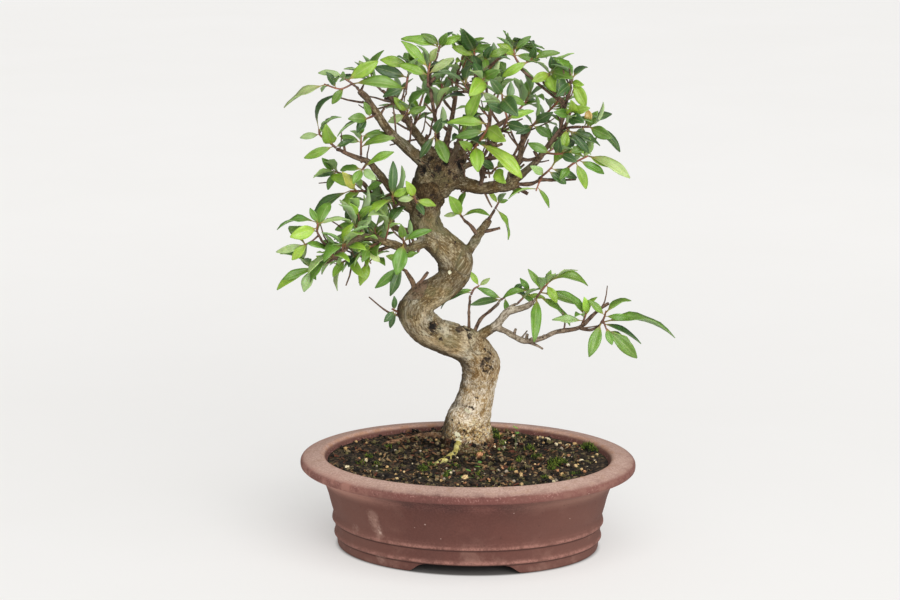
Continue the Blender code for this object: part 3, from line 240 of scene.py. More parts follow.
# %% Shoots and leaves
# Leafy shoots. Each spray has its stems, with & between them and the main one first, the leaves of
# the front view as root across and down, tip across and down, width and bow, and how many more
# leaves grow round the stems by rule.
SPRAY_TABLES = {
    "lower right branch": """
537 297 -6, 542 290 -7, 549 282 -8 | 535 300 534 342 8, 549 282 588 286 5 0.2, 541 293 584 306 9,
538 296 570 326 6, 541 290 528 269 6, 545 286 551 270 6, 547 285 557 303 9 | 3;
518 303 1, 524 297 4, 530 291 7 | 529 292 503 298 5 0.2, 527 295 545 298 6, 530 291 520 278 6 | 2;
601 323 -22, 604 318 -23, 606 311 -25 & 603 320 -22, 607 331 -26 | 600 323 675 338 7 0.14,
599 325 641 344 4, 604 316 630 318 7 0.3, 602 330 637 358 13, 602 329 612 345 8,
600 328 589 357 12, 604 315 588 300 7 | 2;
583 322 -17, 586 314 -19 | 585 317 558 291 6 0.2, 586 314 584 297 8, 583 321 552 320 7 | 2
""",
    "twigs behind the big cut": """
501 300 18, 506 296 19, 512 291 20 | 501 302 470 305 6, 503 300 477 288 7, 506 298 508 314 6,
511 292 524 284 6 | 2;
471 295 18, 474 289 19, 479 286 20 | 471 292 441 309 6 0.18, 473 289 455 294 4, 479 286 469 271 6,
479 286 490 278 5 | 1
""",
    "stub on the right of the trunk": """
462 217 4, 457 210 3 | 461 217 449 196 12, 464 219 490 216 4 0.28, 459 214 444 216 5 | 1;
495 209 9, 499 202 10 | 496 208 508 240 4 0.12, 498 204 488 190 5, 499 203 508 200 4 | 1
""",
    "left pad": """
366 191 10, 358 191 7, 350 191 4 | 355 191 342 172 10, 350 191 312 217 7, 361 191 343 204 7,
353 191 348 226 5, 366 190 384 181 7 | 3;
321 239 -30, 317 231 -31, 318 223 -32 & 319 235 -30, 312 241 -28, 304 245 -27 |
318 223 277 230 5 0.2, 317 228 290 237 13, 318 224 350 220 5, 305 245 276 252 8 0.12,
308 244 292 260 9, 318 223 310 208 7 | 4;
314 268 -22, 308 270 -21 | 315 267 282 280 8, 311 269 277 290 8, 316 267 304 292 11,
312 269 316 280 6 | 2;
360 224 -18, 359 219 -19, 358 212 -19 | 360 226 335 230 10, 359 217 372 206 8, 359 215 350 203 7 |
2;
350 258 6, 343 262 7, 336 264 8 | 345 261 333 277 9, 350 258 364 278 10, 336 264 316 256 7 | 3;
376 244 -18, 371 247 -21, 366 249 -23 | 372 246 352 250 10, 368 248 362 262 9, 366 249 380 262 8 |
1;
404 244 -13, 403 238 -17 | 404 243 396 275 15, 404 242 432 230 6, 403 239 401 224 8 | 1;
394 203 -12, 392 196 -16 | 393 201 353 228 6 0.15, 393 198 393 161 9, 392 197 408 188 8 | 2;
403 268 -4, 402 262 -6, 404 256 -8 | 403 266 375 288 9, 403 264 390 296 10, 404 257 418 253 6,
402 260 386 256 7 | 1;
398 312 -3, 392 309 -6 | 394 310 394 296 6, 395 310 384 322 7, 397 311 390 328 6 | 1;
417 204 -15, 414 196 -17 | 414 197 406 181 9, 415 200 436 206 8, 415 202 424 215 7,
414 198 398 200 7 | 0
""",
    "left of the crown": """
355 86 -31, 350 82 -32, 345 79 -33 & 352 84 -31, 340 89 -34, 324 84 -34 | 346 79 318 73 5,
348 80 378 61 13, 353 84 402 88 10, 326 85 284 108 6 0.1, 335 89 326 72 7, 345 90 332 104 8 | 3;
373 116 -27, 366 119 -31 | 368 118 348 119 10, 367 119 357 133 8, 370 117 364 102 7 | 1;
336 148 -19, 328 141 -20, 320 135 -21, 319 129 -22 | 332 144 326 124 14, 334 146 304 158 9,
335 147 354 140 6, 319 130 341 94 6 0.22, 320 134 300 138 7 | 3;
361 155 -15, 361 145 -16, 361 135 -16 | 361 136 388 134 8, 361 147 395 138 7, 361 135 360 119 8,
361 143 340 136 8 | 3;
365 166 -15, 362 170 -18 | 363 169 353 184 9, 363 169 376 180 9, 364 167 394 152 6 | 1;
342 174 18, 334 171 19 | 338 172 314 176 6, 334 171 322 158 8, 336 172 328 190 8 | 3;
406 90 -10, 408 76 -10, 412 63 -10 | 411 66 380 60 11, 408 77 374 67 12, 406 87 383 97 9,
412 63 416 46 9 | 4;
428 82 -16, 428 74 -17, 430 63 -16 | 428 75 398 65 10, 429 69 401 41 10, 428 74 454 58 8,
430 63 438 48 8 | 3;
438 52 -5, 440 45 -4 | 439 48 401 39 7, 440 45 421 34 8, 440 46 461 36 8, 439 47 447 33 8 | 3;
405 116 -5, 408 110 -9 | 406 114 426 107 8, 407 111 394 97 9, 405 115 388 122 8 | 2;
436 141 -17, 435 133 -21 | 435 135 420 158 8, 436 137 447 163 13, 435 133 442 118 9 | 1
""",
    "top of the crown": """
478 66 -8, 475 57 -2, 474 50 2 & 478 65 -8, 486 58 -13 | 474 52 463 29 15, 474 50 490 45 7,
475 56 452 47 9, 486 58 509 50 8 0.25, 484 60 493 46 8 | 4;
480 93 -36, 482 86 -39, 484 78 -41 | 484 79 469 96 15, 482 87 468 122 13, 481 90 501 110 10,
484 78 500 70 10 | 3;
522 68 -8, 515 57 -5, 514 50 -3 & 521 66 -8, 532 59 -7 | 514 50 531 36 7, 515 55 540 60 8,
515 56 497 44 9, 532 59 560 53 6, 529 61 502 77 9, 532 59 536 46 8 | 5;
547 78 -17, 552 70 -16 | 552 70 551 56 7, 549 75 556 92 13, 551 72 573 79 14, 550 73 532 82 10 | 3
""",
    "right of the crown": """
571 84 -28, 573 77 -27 | 572 82 584 85 7, 572 81 586 107 12, 573 77 566 64 8, 571 83 556 96 10 | 3;
564 127 -33, 568 119 -37, 571 112 -40 & 565 126 -33, 569 131 -37 | 571 113 571 100 11,
569 117 584 123 12, 571 112 590 108 9, 567 129 563 150 9, 568 130 589 153 8, 569 131 600 146 7,
570 115 554 112 9 | 2;
582 127 -30, 590 127 -31 | 589 127 612 138 12, 590 127 620 152 6, 587 127 598 111 9,
584 127 577 141 9 | 3;
547 153 -30, 556 154 -34, 567 153 -36 | 567 153 588 146 8, 560 154 577 162 9, 550 153 528 143 9,
557 154 560 138 9 | 3;
563 172 -22, 574 163 -26, 588 156 -28 | 576 162 586 189 10, 580 160 604 174 9, 587 156 615 168 10,
588 156 630 178 7, 570 166 560 180 8 | 3;
541 177 -20, 547 172 -24, 552 167 -26 & 543 175 -22, 539 183 -28, 536 191 -28 | 551 168 577 178 8,
548 171 566 184 9, 536 187 549 208 5, 544 175 530 166 8 | 2
""",
    "front of the crown": """
504 126 -47, 507 118 -49, 503 105 -50, 502 94 -52 | 503 98 518 116 16, 502 95 525 105 8 0.2,
502 95 490 79 10, 507 119 534 111 7, 505 123 526 129 10, 505 112 488 104 10 | 3;
531 128 -2, 536 121 -4 | 533 126 551 138 9, 535 123 553 112 10, 532 126 516 134 9 | 3;
470 155 -30, 478 143 -37, 486 131 -43, 488 123 -46 | 487 127 506 141 15, 486 131 455 137 9,
488 124 447 123 9, 476 146 478 172 14, 478 143 522 178 9, 473 151 459 141 9 | 1;
493 171 -26, 497 167 -29 | 495 169 506 183 12, 496 168 513 156 9, 495 169 480 160 8 | 1
""",
    "back of the crown": """
407 120 48, 398 108 53, 392 97 55 | | 11;
419 108 42, 424 92 47, 428 76 46 | | 11;
459 69 40, 463 57 38, 468 47 33 | | 11;
444 97 50, 441 82 56 | | 9;
514 115 53, 524 104 57, 532 94 58 | | 11;
494 108 52, 499 92 54, 503 78 50 | | 11;
480 86 45, 490 68 42, 501 57 38 | | 10;
542 156 33, 554 148 36, 566 140 38 | | 11;
500 58 14, 512 50 12, 524 44 8 | | 9;
532 126 28, 548 112 24, 560 99 18 | | 11;
381 90 11, 372 82 14, 363 78 15 | | 9
""",
}
SPRAYS = []
for spray in ";".join(SPRAY_TABLES.values()).split(";"):
    stems, leaves, more = spray.split("|")
    SPRAYS.append((tuple(map(rows, stems.split("&"))), rows(leaves), int(more)))

# The foliage's outline in the front view, as ovals: middle across and down, half across and down
OUTLINES = ((466, 112, 152, 84), (345, 226, 74, 68), (572, 312, 84, 46), (466, 214, 50, 50))
print(len(SPRAYS), "sprays")

# %% [markdown]
# ## Working by hand, in code
#
# An operator acts on what is selected, so each piece is picked alone before it is shaped. When it
# is finished, its place goes into its mesh, and the solids it stands for are hidden.

# %% Select, join and seat
def only(piece):
    """Makes one object the selected and the active one."""
    bpy.ops.object.select_all(action="DESELECT")
    piece.select_set(True)
    bpy.context.view_layer.objects.active = piece


def smooth(*pieces):
    """Shades pieces round, without the edges of their faces."""
    for piece in pieces:
        only(piece)
        bpy.ops.object.shade_smooth()


def joined(name, pieces):
    """Joins objects into one piece of that name."""
    only(pieces[0])
    for piece in pieces[1:]:
        piece.select_set(True)
    if len(pieces) > 1:
        bpy.ops.object.join()
    piece = bpy.context.object
    piece.name = piece.data.name = name
    return piece


def apply_all(piece):
    """Applies the piece's modifiers from first to last."""
    only(piece)
    for modifier in list(piece.modifiers):
        bpy.ops.object.modifier_apply(modifier=modifier.name)


def cleaned(piece):
    """Merges doubled corners and turns every face outwards."""
    only(piece)
    bpy.ops.object.mode_set(mode="EDIT")
    bpy.ops.mesh.select_all(action="SELECT")
    bpy.ops.mesh.remove_doubles(threshold=0.01 * MM)
    bpy.ops.mesh.normals_make_consistent(inside=False)
    bpy.ops.object.mode_set(mode="OBJECT")
    return piece


def settle(piece, material, slot, *solids):
    """Finishes a piece: material, place in the mesh, body, and the solids it stands for. The slot
    is not used.
    """
    piece.data.materials.clear()
    piece.data.materials.append(material)
    only(piece)
    bpy.ops.object.transform_apply(location=True, rotation=True, scale=True)
    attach(piece, "root")
    if solids:
        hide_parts(*solids)
    piece.data.calc_loop_triangles()
    return len(piece.data.loop_triangles)


# %% Corners of a mesh as arrays
def places_of(mesh):
    """The corners of a mesh as an array of places."""
    places = np.empty(len(mesh.vertices) * 3)
    mesh.vertices.foreach_get("co", places)
    return places.reshape(-1, 3)


def move_to(mesh, places):
    """Puts the corners of a mesh at these places."""
    mesh.vertices.foreach_set("co", np.asarray(places, float).reshape(-1))
    mesh.update()


def write_attribute(mesh, name, values):
    """Writes a number, a vector or a colour to each corner of the mesh."""
    values = np.asarray(values, float).reshape(len(mesh.vertices), -1)
    kind, field = {1: ("FLOAT", "value"), 3: ("FLOAT_VECTOR", "vector"),
                   4: ("FLOAT_COLOR", "color")}[values.shape[1]]
    attribute = mesh.attributes.get(name) or mesh.attributes.new(name, kind, "POINT")
    attribute.data.foreach_set(field, values.reshape(-1))


def new_piece(name, corners, faces, **attributes):
    """An object from lists of corner arrays, its faces and its attributes."""
    mesh = bpy.data.meshes.new(name)
    mesh.from_pydata(np.concatenate(corners), [], faces)
    for attribute, values in attributes.items():
        write_attribute(mesh, attribute, np.concatenate(values))
    piece = bpy.data.objects.new(name, mesh)
    bpy.context.scene.collection.objects.link(piece)
    return piece


def smoothed(points, steps):
    """A curve through drawn points of any dimension, steps to a span."""
    ends = [points[0], *points, points[-1]]
    curve = []
    for a, b, c, d in zip(ends, ends[1:], ends[2:], ends[3:]):
        for step in range(steps):
            t = step / steps
            curve.append([
                0.5 * (2 * q + (r - p) * t + (2 * p - 5 * q + 4 * r - s) * t * t
                       + (3 * q - p - 3 * r + s) * t ** 3)
                for p, q, r, s in zip(a, b, c, d)
            ])
    curve.append(list(points[-1]))
    return curve


# %% [markdown]
# ## Words for the materials
#
# A material is a small network of nodes. A few helpers make such a network readable: one adds a
# node and feeds its sockets by name, and the others wrap the nodes that every finish here needs.
# Colours are written as they look on a screen, from 0 to 255, and turned into the linear numbers
# of a shader.

# %% Node helpers
def tone(red, green, blue):
    """A colour as a screen shows it, in the linear numbers that shaders use."""
    levels = [level / 255 for level in (red, green, blue)]
    return (*[v / 12.92 if v <= 0.04045 else ((v + 0.055) / 1.055) ** 2.4 for v in levels], 1.0)


def feed(tree, socket, value):
    """Links a node or a socket to a socket, or sets its plain value."""
    if isinstance(value, bpy.types.Node):
        value = value.outputs[0]
    if isinstance(value, bpy.types.NodeSocket):
        tree.links.new(value, socket)
    else:
        socket.default_value = value


def add(tree, kind, settings=None, **inputs):
    """A new node with its settings, its inputs fed by name."""
    made = tree.nodes.new("ShaderNode" + kind)
    for name, value in (settings or {}).items():
        setattr(made, name, value)
    for name, value in inputs.items():
        feed(tree, made.inputs[name.replace("_", " ")], value)
    return made


def maths(tree, operation, first, *others):
    """Works out a sum, a product or the like of two or more values."""
    for other in others or (0.0,):
        made = add(tree, "Math", {"operation": operation})
        feed(tree, made.inputs[0], first)
        feed(tree, made.inputs[1], other)
        first = made.outputs[0]
    return first


def mixed(tree, factor, first, second, blend="MIX"):
    """Mixes two colours, each a socket or three levels from 0 to 255."""
    made = add(tree, "Mix", {"data_type": "RGBA", "blend_type": blend})
    for index, value in ((0, factor), (6, first), (7, second)):
        feed(tree, made.inputs[index], tone(*value) if isinstance(value, tuple) else value)
    return made.outputs[2]


def between(tree, value, low, high, start=0.0, end=1.0):
    """Goes softly from start to end while the value goes from low to high."""
    made = add(tree, "MapRange", {"interpolation_type": "SMOOTHSTEP"}, Value=value,
               From_Min=low, From_Max=high, To_Min=start, To_Max=end)
    return made.outputs[0]


def ramp(tree, value, *stops):
    """A colour ramp through (place, levels) stops."""
    made = add(tree, "ValToRGB")
    elements = made.color_ramp.elements
    while len(elements) < len(stops):
        elements.new(0.5)
    for element, (place, colour) in zip(elements, stops):
        element.position = place
        element.color = tone(*colour)
    feed(tree, made.inputs[0], value)
    return made.outputs[0]


# %% [markdown]
# Three effects come back in nearly every finish here: cloudy patches, scattered specks and a fine
# tooth. Each is a node group, built once and placed with its own numbers.

# %% Shared effects
def new_group(name, inputs, outputs):
    """An empty shader group with named sockets."""
    group = bpy.data.node_groups.new(name, "ShaderNodeTree")
    for label, kind, value in inputs:
        socket = group.interface.new_socket(label, in_out="INPUT", socket_type="NodeSocket" + kind)
        if value is not None:
            socket.default_value = value
    for label in outputs:
        group.interface.new_socket(label, in_out="OUTPUT", socket_type="NodeSocketFloat")
    start = group.nodes.new("NodeGroupInput")
    end = group.nodes.new("NodeGroupOutput")
    return group, start.outputs, end.inputs


def make_patches():
    """Cloudy patches: a mask that covers about Share of the surface."""
    group, given, result = new_group(
        "cloudy_patches", (("Vector", "Vector", None), ("Scale", "Float", 50.0),
                           ("Share", "Float", 0.3), ("Softness", "Float", 0.1)), ("Mask",))
    cloud = add(group, "TexNoise", Vector=given["Vector"], Scale=given["Scale"], Detail=6.0,
                Roughness=0.62, Distortion=0.3)
    level = maths(group, "SUBTRACT", 0.78, maths(group, "MULTIPLY", given["Share"], 0.56))
    low = maths(group, "SUBTRACT", level, given["Softness"])
    high = maths(group, "ADD", level, given["Softness"])
    feed(group, result["Mask"], between(group, cloud, low, high))
    return group


def make_specks():
    """Scattered round specks: each cell of a pattern holds one or none."""
    group, given, result = new_group(
        "scattered_specks", (("Vector", "Vector", None), ("Scale", "Float", 500.0),
                             ("Size", "Float", 0.25), ("Share", "Float", 0.2)), ("Mask",))
    cells = add(group, "TexVoronoi", Vector=given["Vector"], Scale=given["Scale"])
    core = maths(group, "MULTIPLY", given["Size"], 0.6)
    spot_mask = between(group, cells.outputs["Distance"], core, given["Size"], 1.0, 0.0)
    pick = add(group, "SeparateColor", Color=cells.outputs["Color"])
    chosen = maths(group, "LESS_THAN", pick.outputs[0], given["Share"])
    feed(group, result["Mask"], maths(group, "MULTIPLY", spot_mask, chosen))
    return group


def make_tooth():
    """A fine tooth: a height of small grain on soft waves."""
    group, given, result = new_group(
        "fine_tooth", (("Vector", "Vector", None), ("Scale", "Float", 1000.0)), ("Height",))
    fine = add(group, "TexNoise", Vector=given["Vector"], Scale=given["Scale"], Detail=4.0,
               Roughness=0.6)
    broad = add(group, "TexNoise", Vector=given["Vector"],
                Scale=maths(group, "MULTIPLY", given["Scale"], 0.15), Detail=2.0)
    feed(group, result["Height"], maths(group, "ADD", fine, broad))
    return group


PATCHES, SPECKS, TOOTH = make_patches(), make_specks(), make_tooth()


def effect(tree, group, **inputs):
    """Places a shared effect in a material and gives its output."""
    made = tree.nodes.new("ShaderNodeGroup")
    made.node_tree = group
    for name, value in inputs.items():
        feed(tree, made.inputs[name], value)
    return made.outputs[0]


print("effects:", *[group.name for group in (PATCHES, SPECKS, TOOTH)])

# %% [markdown]
# A finish starts from one colour, and layers go over it: each has a mask, made of noises and of
# the place on the piece, and a tone. The class keeps the tree, the shader and the colour so far
# together, so that each layer is one line.

# %% A finish under way
class Finish:
    """A material under way: its node tree, its shader and the colour laid on so far."""

    def __init__(self, name, roughness, specular=0.5):
        self.material = bpy.data.materials.new(name)
        self.material.use_nodes = True
        self.tree = self.material.node_tree
        self.shader = self.tree.nodes["Principled BSDF"]
        self.give("Roughness", roughness)
        self.give("Specular IOR Level", specular)
        self.place = add(self.tree, "TexCoord").outputs["Object"]

    def split_place(self):
        """Splits the place on the piece into its width and its height."""
        self.width, _, self.height = add(self.tree, "SeparateXYZ", Vector=self.place).outputs

    def give(self, name, value):
        """Sets or links a socket of the shader."""
        feed(self.tree, self.shader.inputs[name], value)

    def read(self, name, output="Fac"):
        """An attribute of the mesh."""
        return add(self.tree, "Attribute", {"attribute_name": name}).outputs[output]

    def noise(self, scale, detail=2.0, vector=None, **inputs):
        vector = self.place if vector is None else vector
        return add(self.tree, "TexNoise", Vector=vector, Scale=scale, Detail=detail, **inputs)

    def patches(self, scale, share, softness):
        return effect(self.tree, PATCHES, Vector=self.place, Scale=scale, Share=share,
                      Softness=softness)

    def specks(self, scale, size, share):
        return effect(self.tree, SPECKS, Vector=self.place, Scale=scale, Size=size, Share=share)

    def tooth(self, scale, vector=None):
        vector = self.place if vector is None else vector
        return effect(self.tree, TOOTH, Vector=vector, Scale=scale)

    def length(self, vector):
        """The length of a vector."""
        made = add(self.tree, "VectorMath", {"operation": "LENGTH"})
        feed(self.tree, made.inputs[0], vector)
        return made.outputs["Value"]

    def fade(self, value, low, high, start=0.0, end=1.0):
        return between(self.tree, value, low, high, start, end)

    def high(self, low, high, start=0.0, end=1.0):
        """Goes from start to end between two heights in millimetres."""
        return self.fade(self.height, low * MM, high * MM, start, end)

    def band(self, low, full, still_full, end):
        """1 between two heights, and fading out below and above them."""
        return self.times(self.high(low, full), self.high(still_full, end, 1.0, 0.0))

    def times(self, *values):
        return maths(self.tree, "MULTIPLY", *values)

    def plus(self, *values):
        return maths(self.tree, "ADD", *values)

    def mix(self, factor, first, second):
        return mixed(self.tree, factor, first, second)

    def lay(self, mask, layer):
        """Lays a tone or a colour over what is there, as far as the mask lets it."""
        self.colour = mixed(self.tree, mask, self.colour, layer)

    def lay_all(self, where, *layers):
        """Lays a tone for each row of a pattern, the four numbers of its fade, and the tone."""
        for pattern, low, high, start, end, layer in layers:
            self.lay(self.times(self.fade(pattern, low, high, start, end), where), layer)

    def dim(self, mask, levels):
        """Multiplies what is there with a tone, as far as the mask lets it."""
        self.lay(mask, mixed(self.tree, 1.0, self.colour, levels, "MULTIPLY"))

    def done(self, relief, distance, strength=1.0):
        """Gives the colour and the relief to the shader."""
        self.give("Base Color", self.colour)
        self.give("Normal", add(self.tree, "Bump", Height=relief, Distance=distance,
                                Strength=strength))
        return self.material

# %% [markdown]
# ## The pot
#
# The pot is unglazed fired clay, pressed in a mould: an oval with a broad flat rim, a hollow under
# the lip, two raised bands near the foot, and a foot skirt with a notch in front and one behind.
# Its rings all keep the same inset from the rim's edge, so it is drawn as one outline and raised
# ring by ring from a filled oval: extrude, then resize and move. The body stays closed at every
# step.

# %% The pot's outline
pot_low, pot_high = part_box("pot")
POT_HALF_LENGTH = (pot_high.x - pot_low.x) / 2
POT_HALF_WIDTH = (pot_high.y - pot_low.y) / 2
POT_HEIGHT = pot_high.z
POT_SIDES = 160
FOOT_INSET = 22.0
BODY_INSET = 15.0
FOOT_HEIGHT = 6.0
FLOOR_TOP = 11.0
RIM_TOP = POT_HEIGHT / MM
LIP_LOW = RIM_TOP - 7.5
BANDS = ((6.2, 10.2), (15.4, 20.4))
BAND_RISE = 1.45
# The hollow under the lip: out from the body's line and down from the lip
COVE = ((0.0, 27), (0.8, 22), (1.4, 16.5), (2.4, 11.5), (3.8, 7.8), (5.9, 4.6), (9.0, 2.0),
        (13.9, 0.2))
# The inner wall: in from the rim's outer edge and its height
INSIDE = ((14.8, 54.4), (17.0, 50.8), (20.6, 47.5), (23.0, 38.5), (27.5, 17.0), (32.5, FLOOR_TOP))


def wall_inset(height):
    """How far the body's line lies inside the rim's edge, in mm."""
    return FOOT_INSET + (BODY_INSET - FOOT_INSET) * (height - 1.2) / (RIM_TOP - 1.2)


def pot_corners():
    """The outline's corners as (inset, height, rounding) in mm, from the recess to the floor."""
    corners = [(31.5, FOOT_HEIGHT, 0.8), (30.0, 0, 0.7), (FOOT_INSET, 0, 1.6)]
    for low, high in BANDS:
        corners += [(wall_inset(low), low, 0.25), (wall_inset(low) - BAND_RISE, low + 0.9, 0.7),
                    (wall_inset(low) - BAND_RISE, low + 2.0, 0.8), (wall_inset(high), high, 1.2)]
    corners += [(wall_inset(LIP_LOW - down) - out, LIP_LOW - down, 0.9) for out, down in COVE]
    corners += [(0.1, LIP_LOW, 1.4), (0, RIM_TOP - 3.5, 1.6), (2.1, RIM_TOP - 2.0, 1.2),
                (13.2, RIM_TOP, 1.5)]
    return corners + [(inset, height, 1.2) for inset, height in INSIDE]


def rounded_outline(corners, steps=5):
    """The outline with each corner turned into a short curve that starts its rounding away."""
    outline = [corners[0][:2]]
    for before, corner, after in zip(corners, corners[1:], corners[2:]):
        here, rounding = Vector(corner[:2]), corner[2]
        starts = [here + (Vector(end[:2]) - here).normalized() * rounding
                  for end in (before, after)]
        for step in range(steps + 1):
            t = step / steps
            outline.append(starts[0].lerp(here, t).lerp(here.lerp(starts[1], t), t))
    outline.append(corners[-1][:2])
    return outline


outline = rounded_outline(pot_corners(), 3)
print("pot outline:", len(outline), "rings")

# %% Raise the pot from its outline
def start_oval(name, inset, height, sides):
    """A filled oval, in edit mode with all of it selected."""
    bpy.ops.object.select_all(action="DESELECT")
    bpy.ops.mesh.primitive_circle_add(vertices=sides, radius=1, fill_type="NGON",
                                      location=(POT_X, 0, height * MM))
    piece = bpy.context.object
    piece.name = name
    bpy.ops.object.mode_set(mode="EDIT")
    size = oval_half(inset)
    bpy.ops.transform.resize(value=(*size, 1), center_override=(POT_X, 0, height * MM))
    return piece


def oval_half(inset):
    return POT_HALF_LENGTH - inset * MM, POT_HALF_WIDTH - inset * MM


def next_ring(here, there):
    """Extrudes the selected face to the next (inset, height) of an outline."""
    bpy.ops.mesh.extrude_region_move(
        TRANSFORM_OT_translate={"value": (0, 0, (there[1] - here[1]) * MM)})
    (old_x, old_y), (new_x, new_y) = oval_half(here[0]), oval_half(there[0])
    bpy.ops.transform.resize(value=(new_x / old_x, new_y / old_y, 1),
                             center_override=(POT_X, 0, there[1] * MM))


def raised(name, outline, sides):
    """A closed body through the rings of an outline."""
    piece = start_oval(name, *outline[0], sides)
    for here, there in zip(outline, outline[1:]):
        next_ring(here, there)
    bpy.ops.mesh.select_all(action="SELECT")
    bpy.ops.mesh.normals_make_consistent(inside=False)
    bpy.ops.object.mode_set(mode="OBJECT")
    return piece


pot = raised("clay_pot", outline, POT_SIDES)
print("pot body:", len(pot.data.polygons), "faces")

# %% [markdown]
# The notches are cut with a block whose sides follow the notch's rounded shape, and the drain
# holes with two round bars.

# %% Cut the notches and the drain holes
NOTCH_SHIFT = 5 * MM
# The notch's height and half its width there, in mm, with both its corners rounded
NOTCH_SIDE = ((-6, 44), (0, 34.6), (1, 31.9), (2, 30.4), (3, 29.2), (4, 28.0), (5, 26.6), (6, 23.2))
DRAIN_RADIUS = 9 * MM
DRAIN_SPACING = 80 * MM


def notch_cutter(front):
    """A block through the foot skirt, its sides shaped like the notch."""
    middle_x, middle_y = POT_X - front * NOTCH_SHIFT, front * (POT_HALF_WIDTH - 26 * MM)
    bpy.ops.mesh.primitive_cube_add(size=2, location=(0, 0, 0))
    cutter = bpy.context.object
    bpy.ops.object.mode_set(mode="EDIT")
    bpy.ops.mesh.subdivide(number_cuts=11)
    bpy.ops.object.mode_set(mode="OBJECT")
    for corner in cutter.data.vertices:
        across, deep, high = corner.co
        half = np.interp(high * FOOT_HEIGHT, *zip(*NOTCH_SIDE)) * MM
        corner.co = (middle_x + across * half, middle_y + deep * 15 * MM, high * FOOT_HEIGHT * MM)
    return cutter


def drain_cutter(side):
    bpy.ops.mesh.primitive_cylinder_add(vertices=48, radius=DRAIN_RADIUS, depth=20 * MM,
                                        location=(POT_X + side * DRAIN_SPACING / 2, 0, 9 * MM))
    return bpy.context.object


def cut_away(piece, cutters):
    """Takes the cutters out of the piece and deletes them."""
    for cutter in cutters:
        cut = piece.modifiers.new("cut", "BOOLEAN")
        cut.operation = "DIFFERENCE"
        cut.object = cutter
        cut.solver = "EXACT"
    apply_all(piece)
    for cutter in cutters:
        bpy.data.objects.remove(cutter)


cut_away(pot, [notch_cutter(-1), notch_cutter(1), drain_cutter(-1), drain_cutter(1)])
only(pot)
bpy.ops.object.shade_smooth_by_angle(angle=math.radians(32))
print("pot cut:", len(pot.data.polygons), "faces")

# %% [markdown]
# The clay is a matt red brown that never is one colour: cloudy firing marks, a pale dusty bloom on
# the flat rim and along the foot, dark iron specks, pale grit, and a few white scuffs. All of it
# depends on the place on the pot, so the material reads Object coordinates and splits off the
# height.

# %% Clay
# Rubbed, hazy and stained places in the front view: across, down and reach in mm
SCUFFS = rows("""
380.5 526 3.4, 381.5 529 3.6, 382.5 532 3.6, 383.3 535 3.2, 386.4 545 2.4, 384 557 4, 381 555.5 3,
386 559 3, 353 482 2.4, 426 503 2, 446 519 1.3, 425 525 1.2, 514 547.8 2.4, 518 547.2 2.4,
550 494.5 1.8, 575 537.5 2.4, 558 552 3, 352 487 1.6
""")
HAZE = rows("""
374 514 8, 376 520 8, 379 527 8, 382 534 7, 384 556 8, 361 528 9
""")
SMUDGES = rows("""
509 513 4.5, 514 513 4.5, 503 511 3, 355 536 4.5, 361 537.7 4.5, 367 539 3.6, 363 551 4.5,
369 552.5 3.6, 583 485 4, 588 486.5 3.6, 366 472 3
""")


def rubbed_spots(clay, ragged, spots, levels, strength):
    """Lays uneven marks of one tone on the places that the front view shows at the given spots."""
    for across, down, size in spots:
        away = add(clay.tree, "VectorMath", {"operation": "DISTANCE"})
        feed(clay.tree, away.inputs[0], clay.place)
        away.inputs[1].default_value = seen_on(pot, across, down)
        near = clay.fade(away.outputs["Value"], 0, size * MM, 1.0, 0.0)
        clay.lay(clay.fade(clay.times(near, ragged), 0.12, 0.42, 0.0, strength), levels)


def oval_share(finish, inset):
    """1 on the pot's oval at an inset, and more outside it."""
    wide, deep = oval_half(inset)
    return finish.length(add(finish.tree, "Mapping", Vector=finish.place,
                             Scale=(1 / wide, 1 / deep, 0), Location=(-POT_X / wide, 0, 0)))


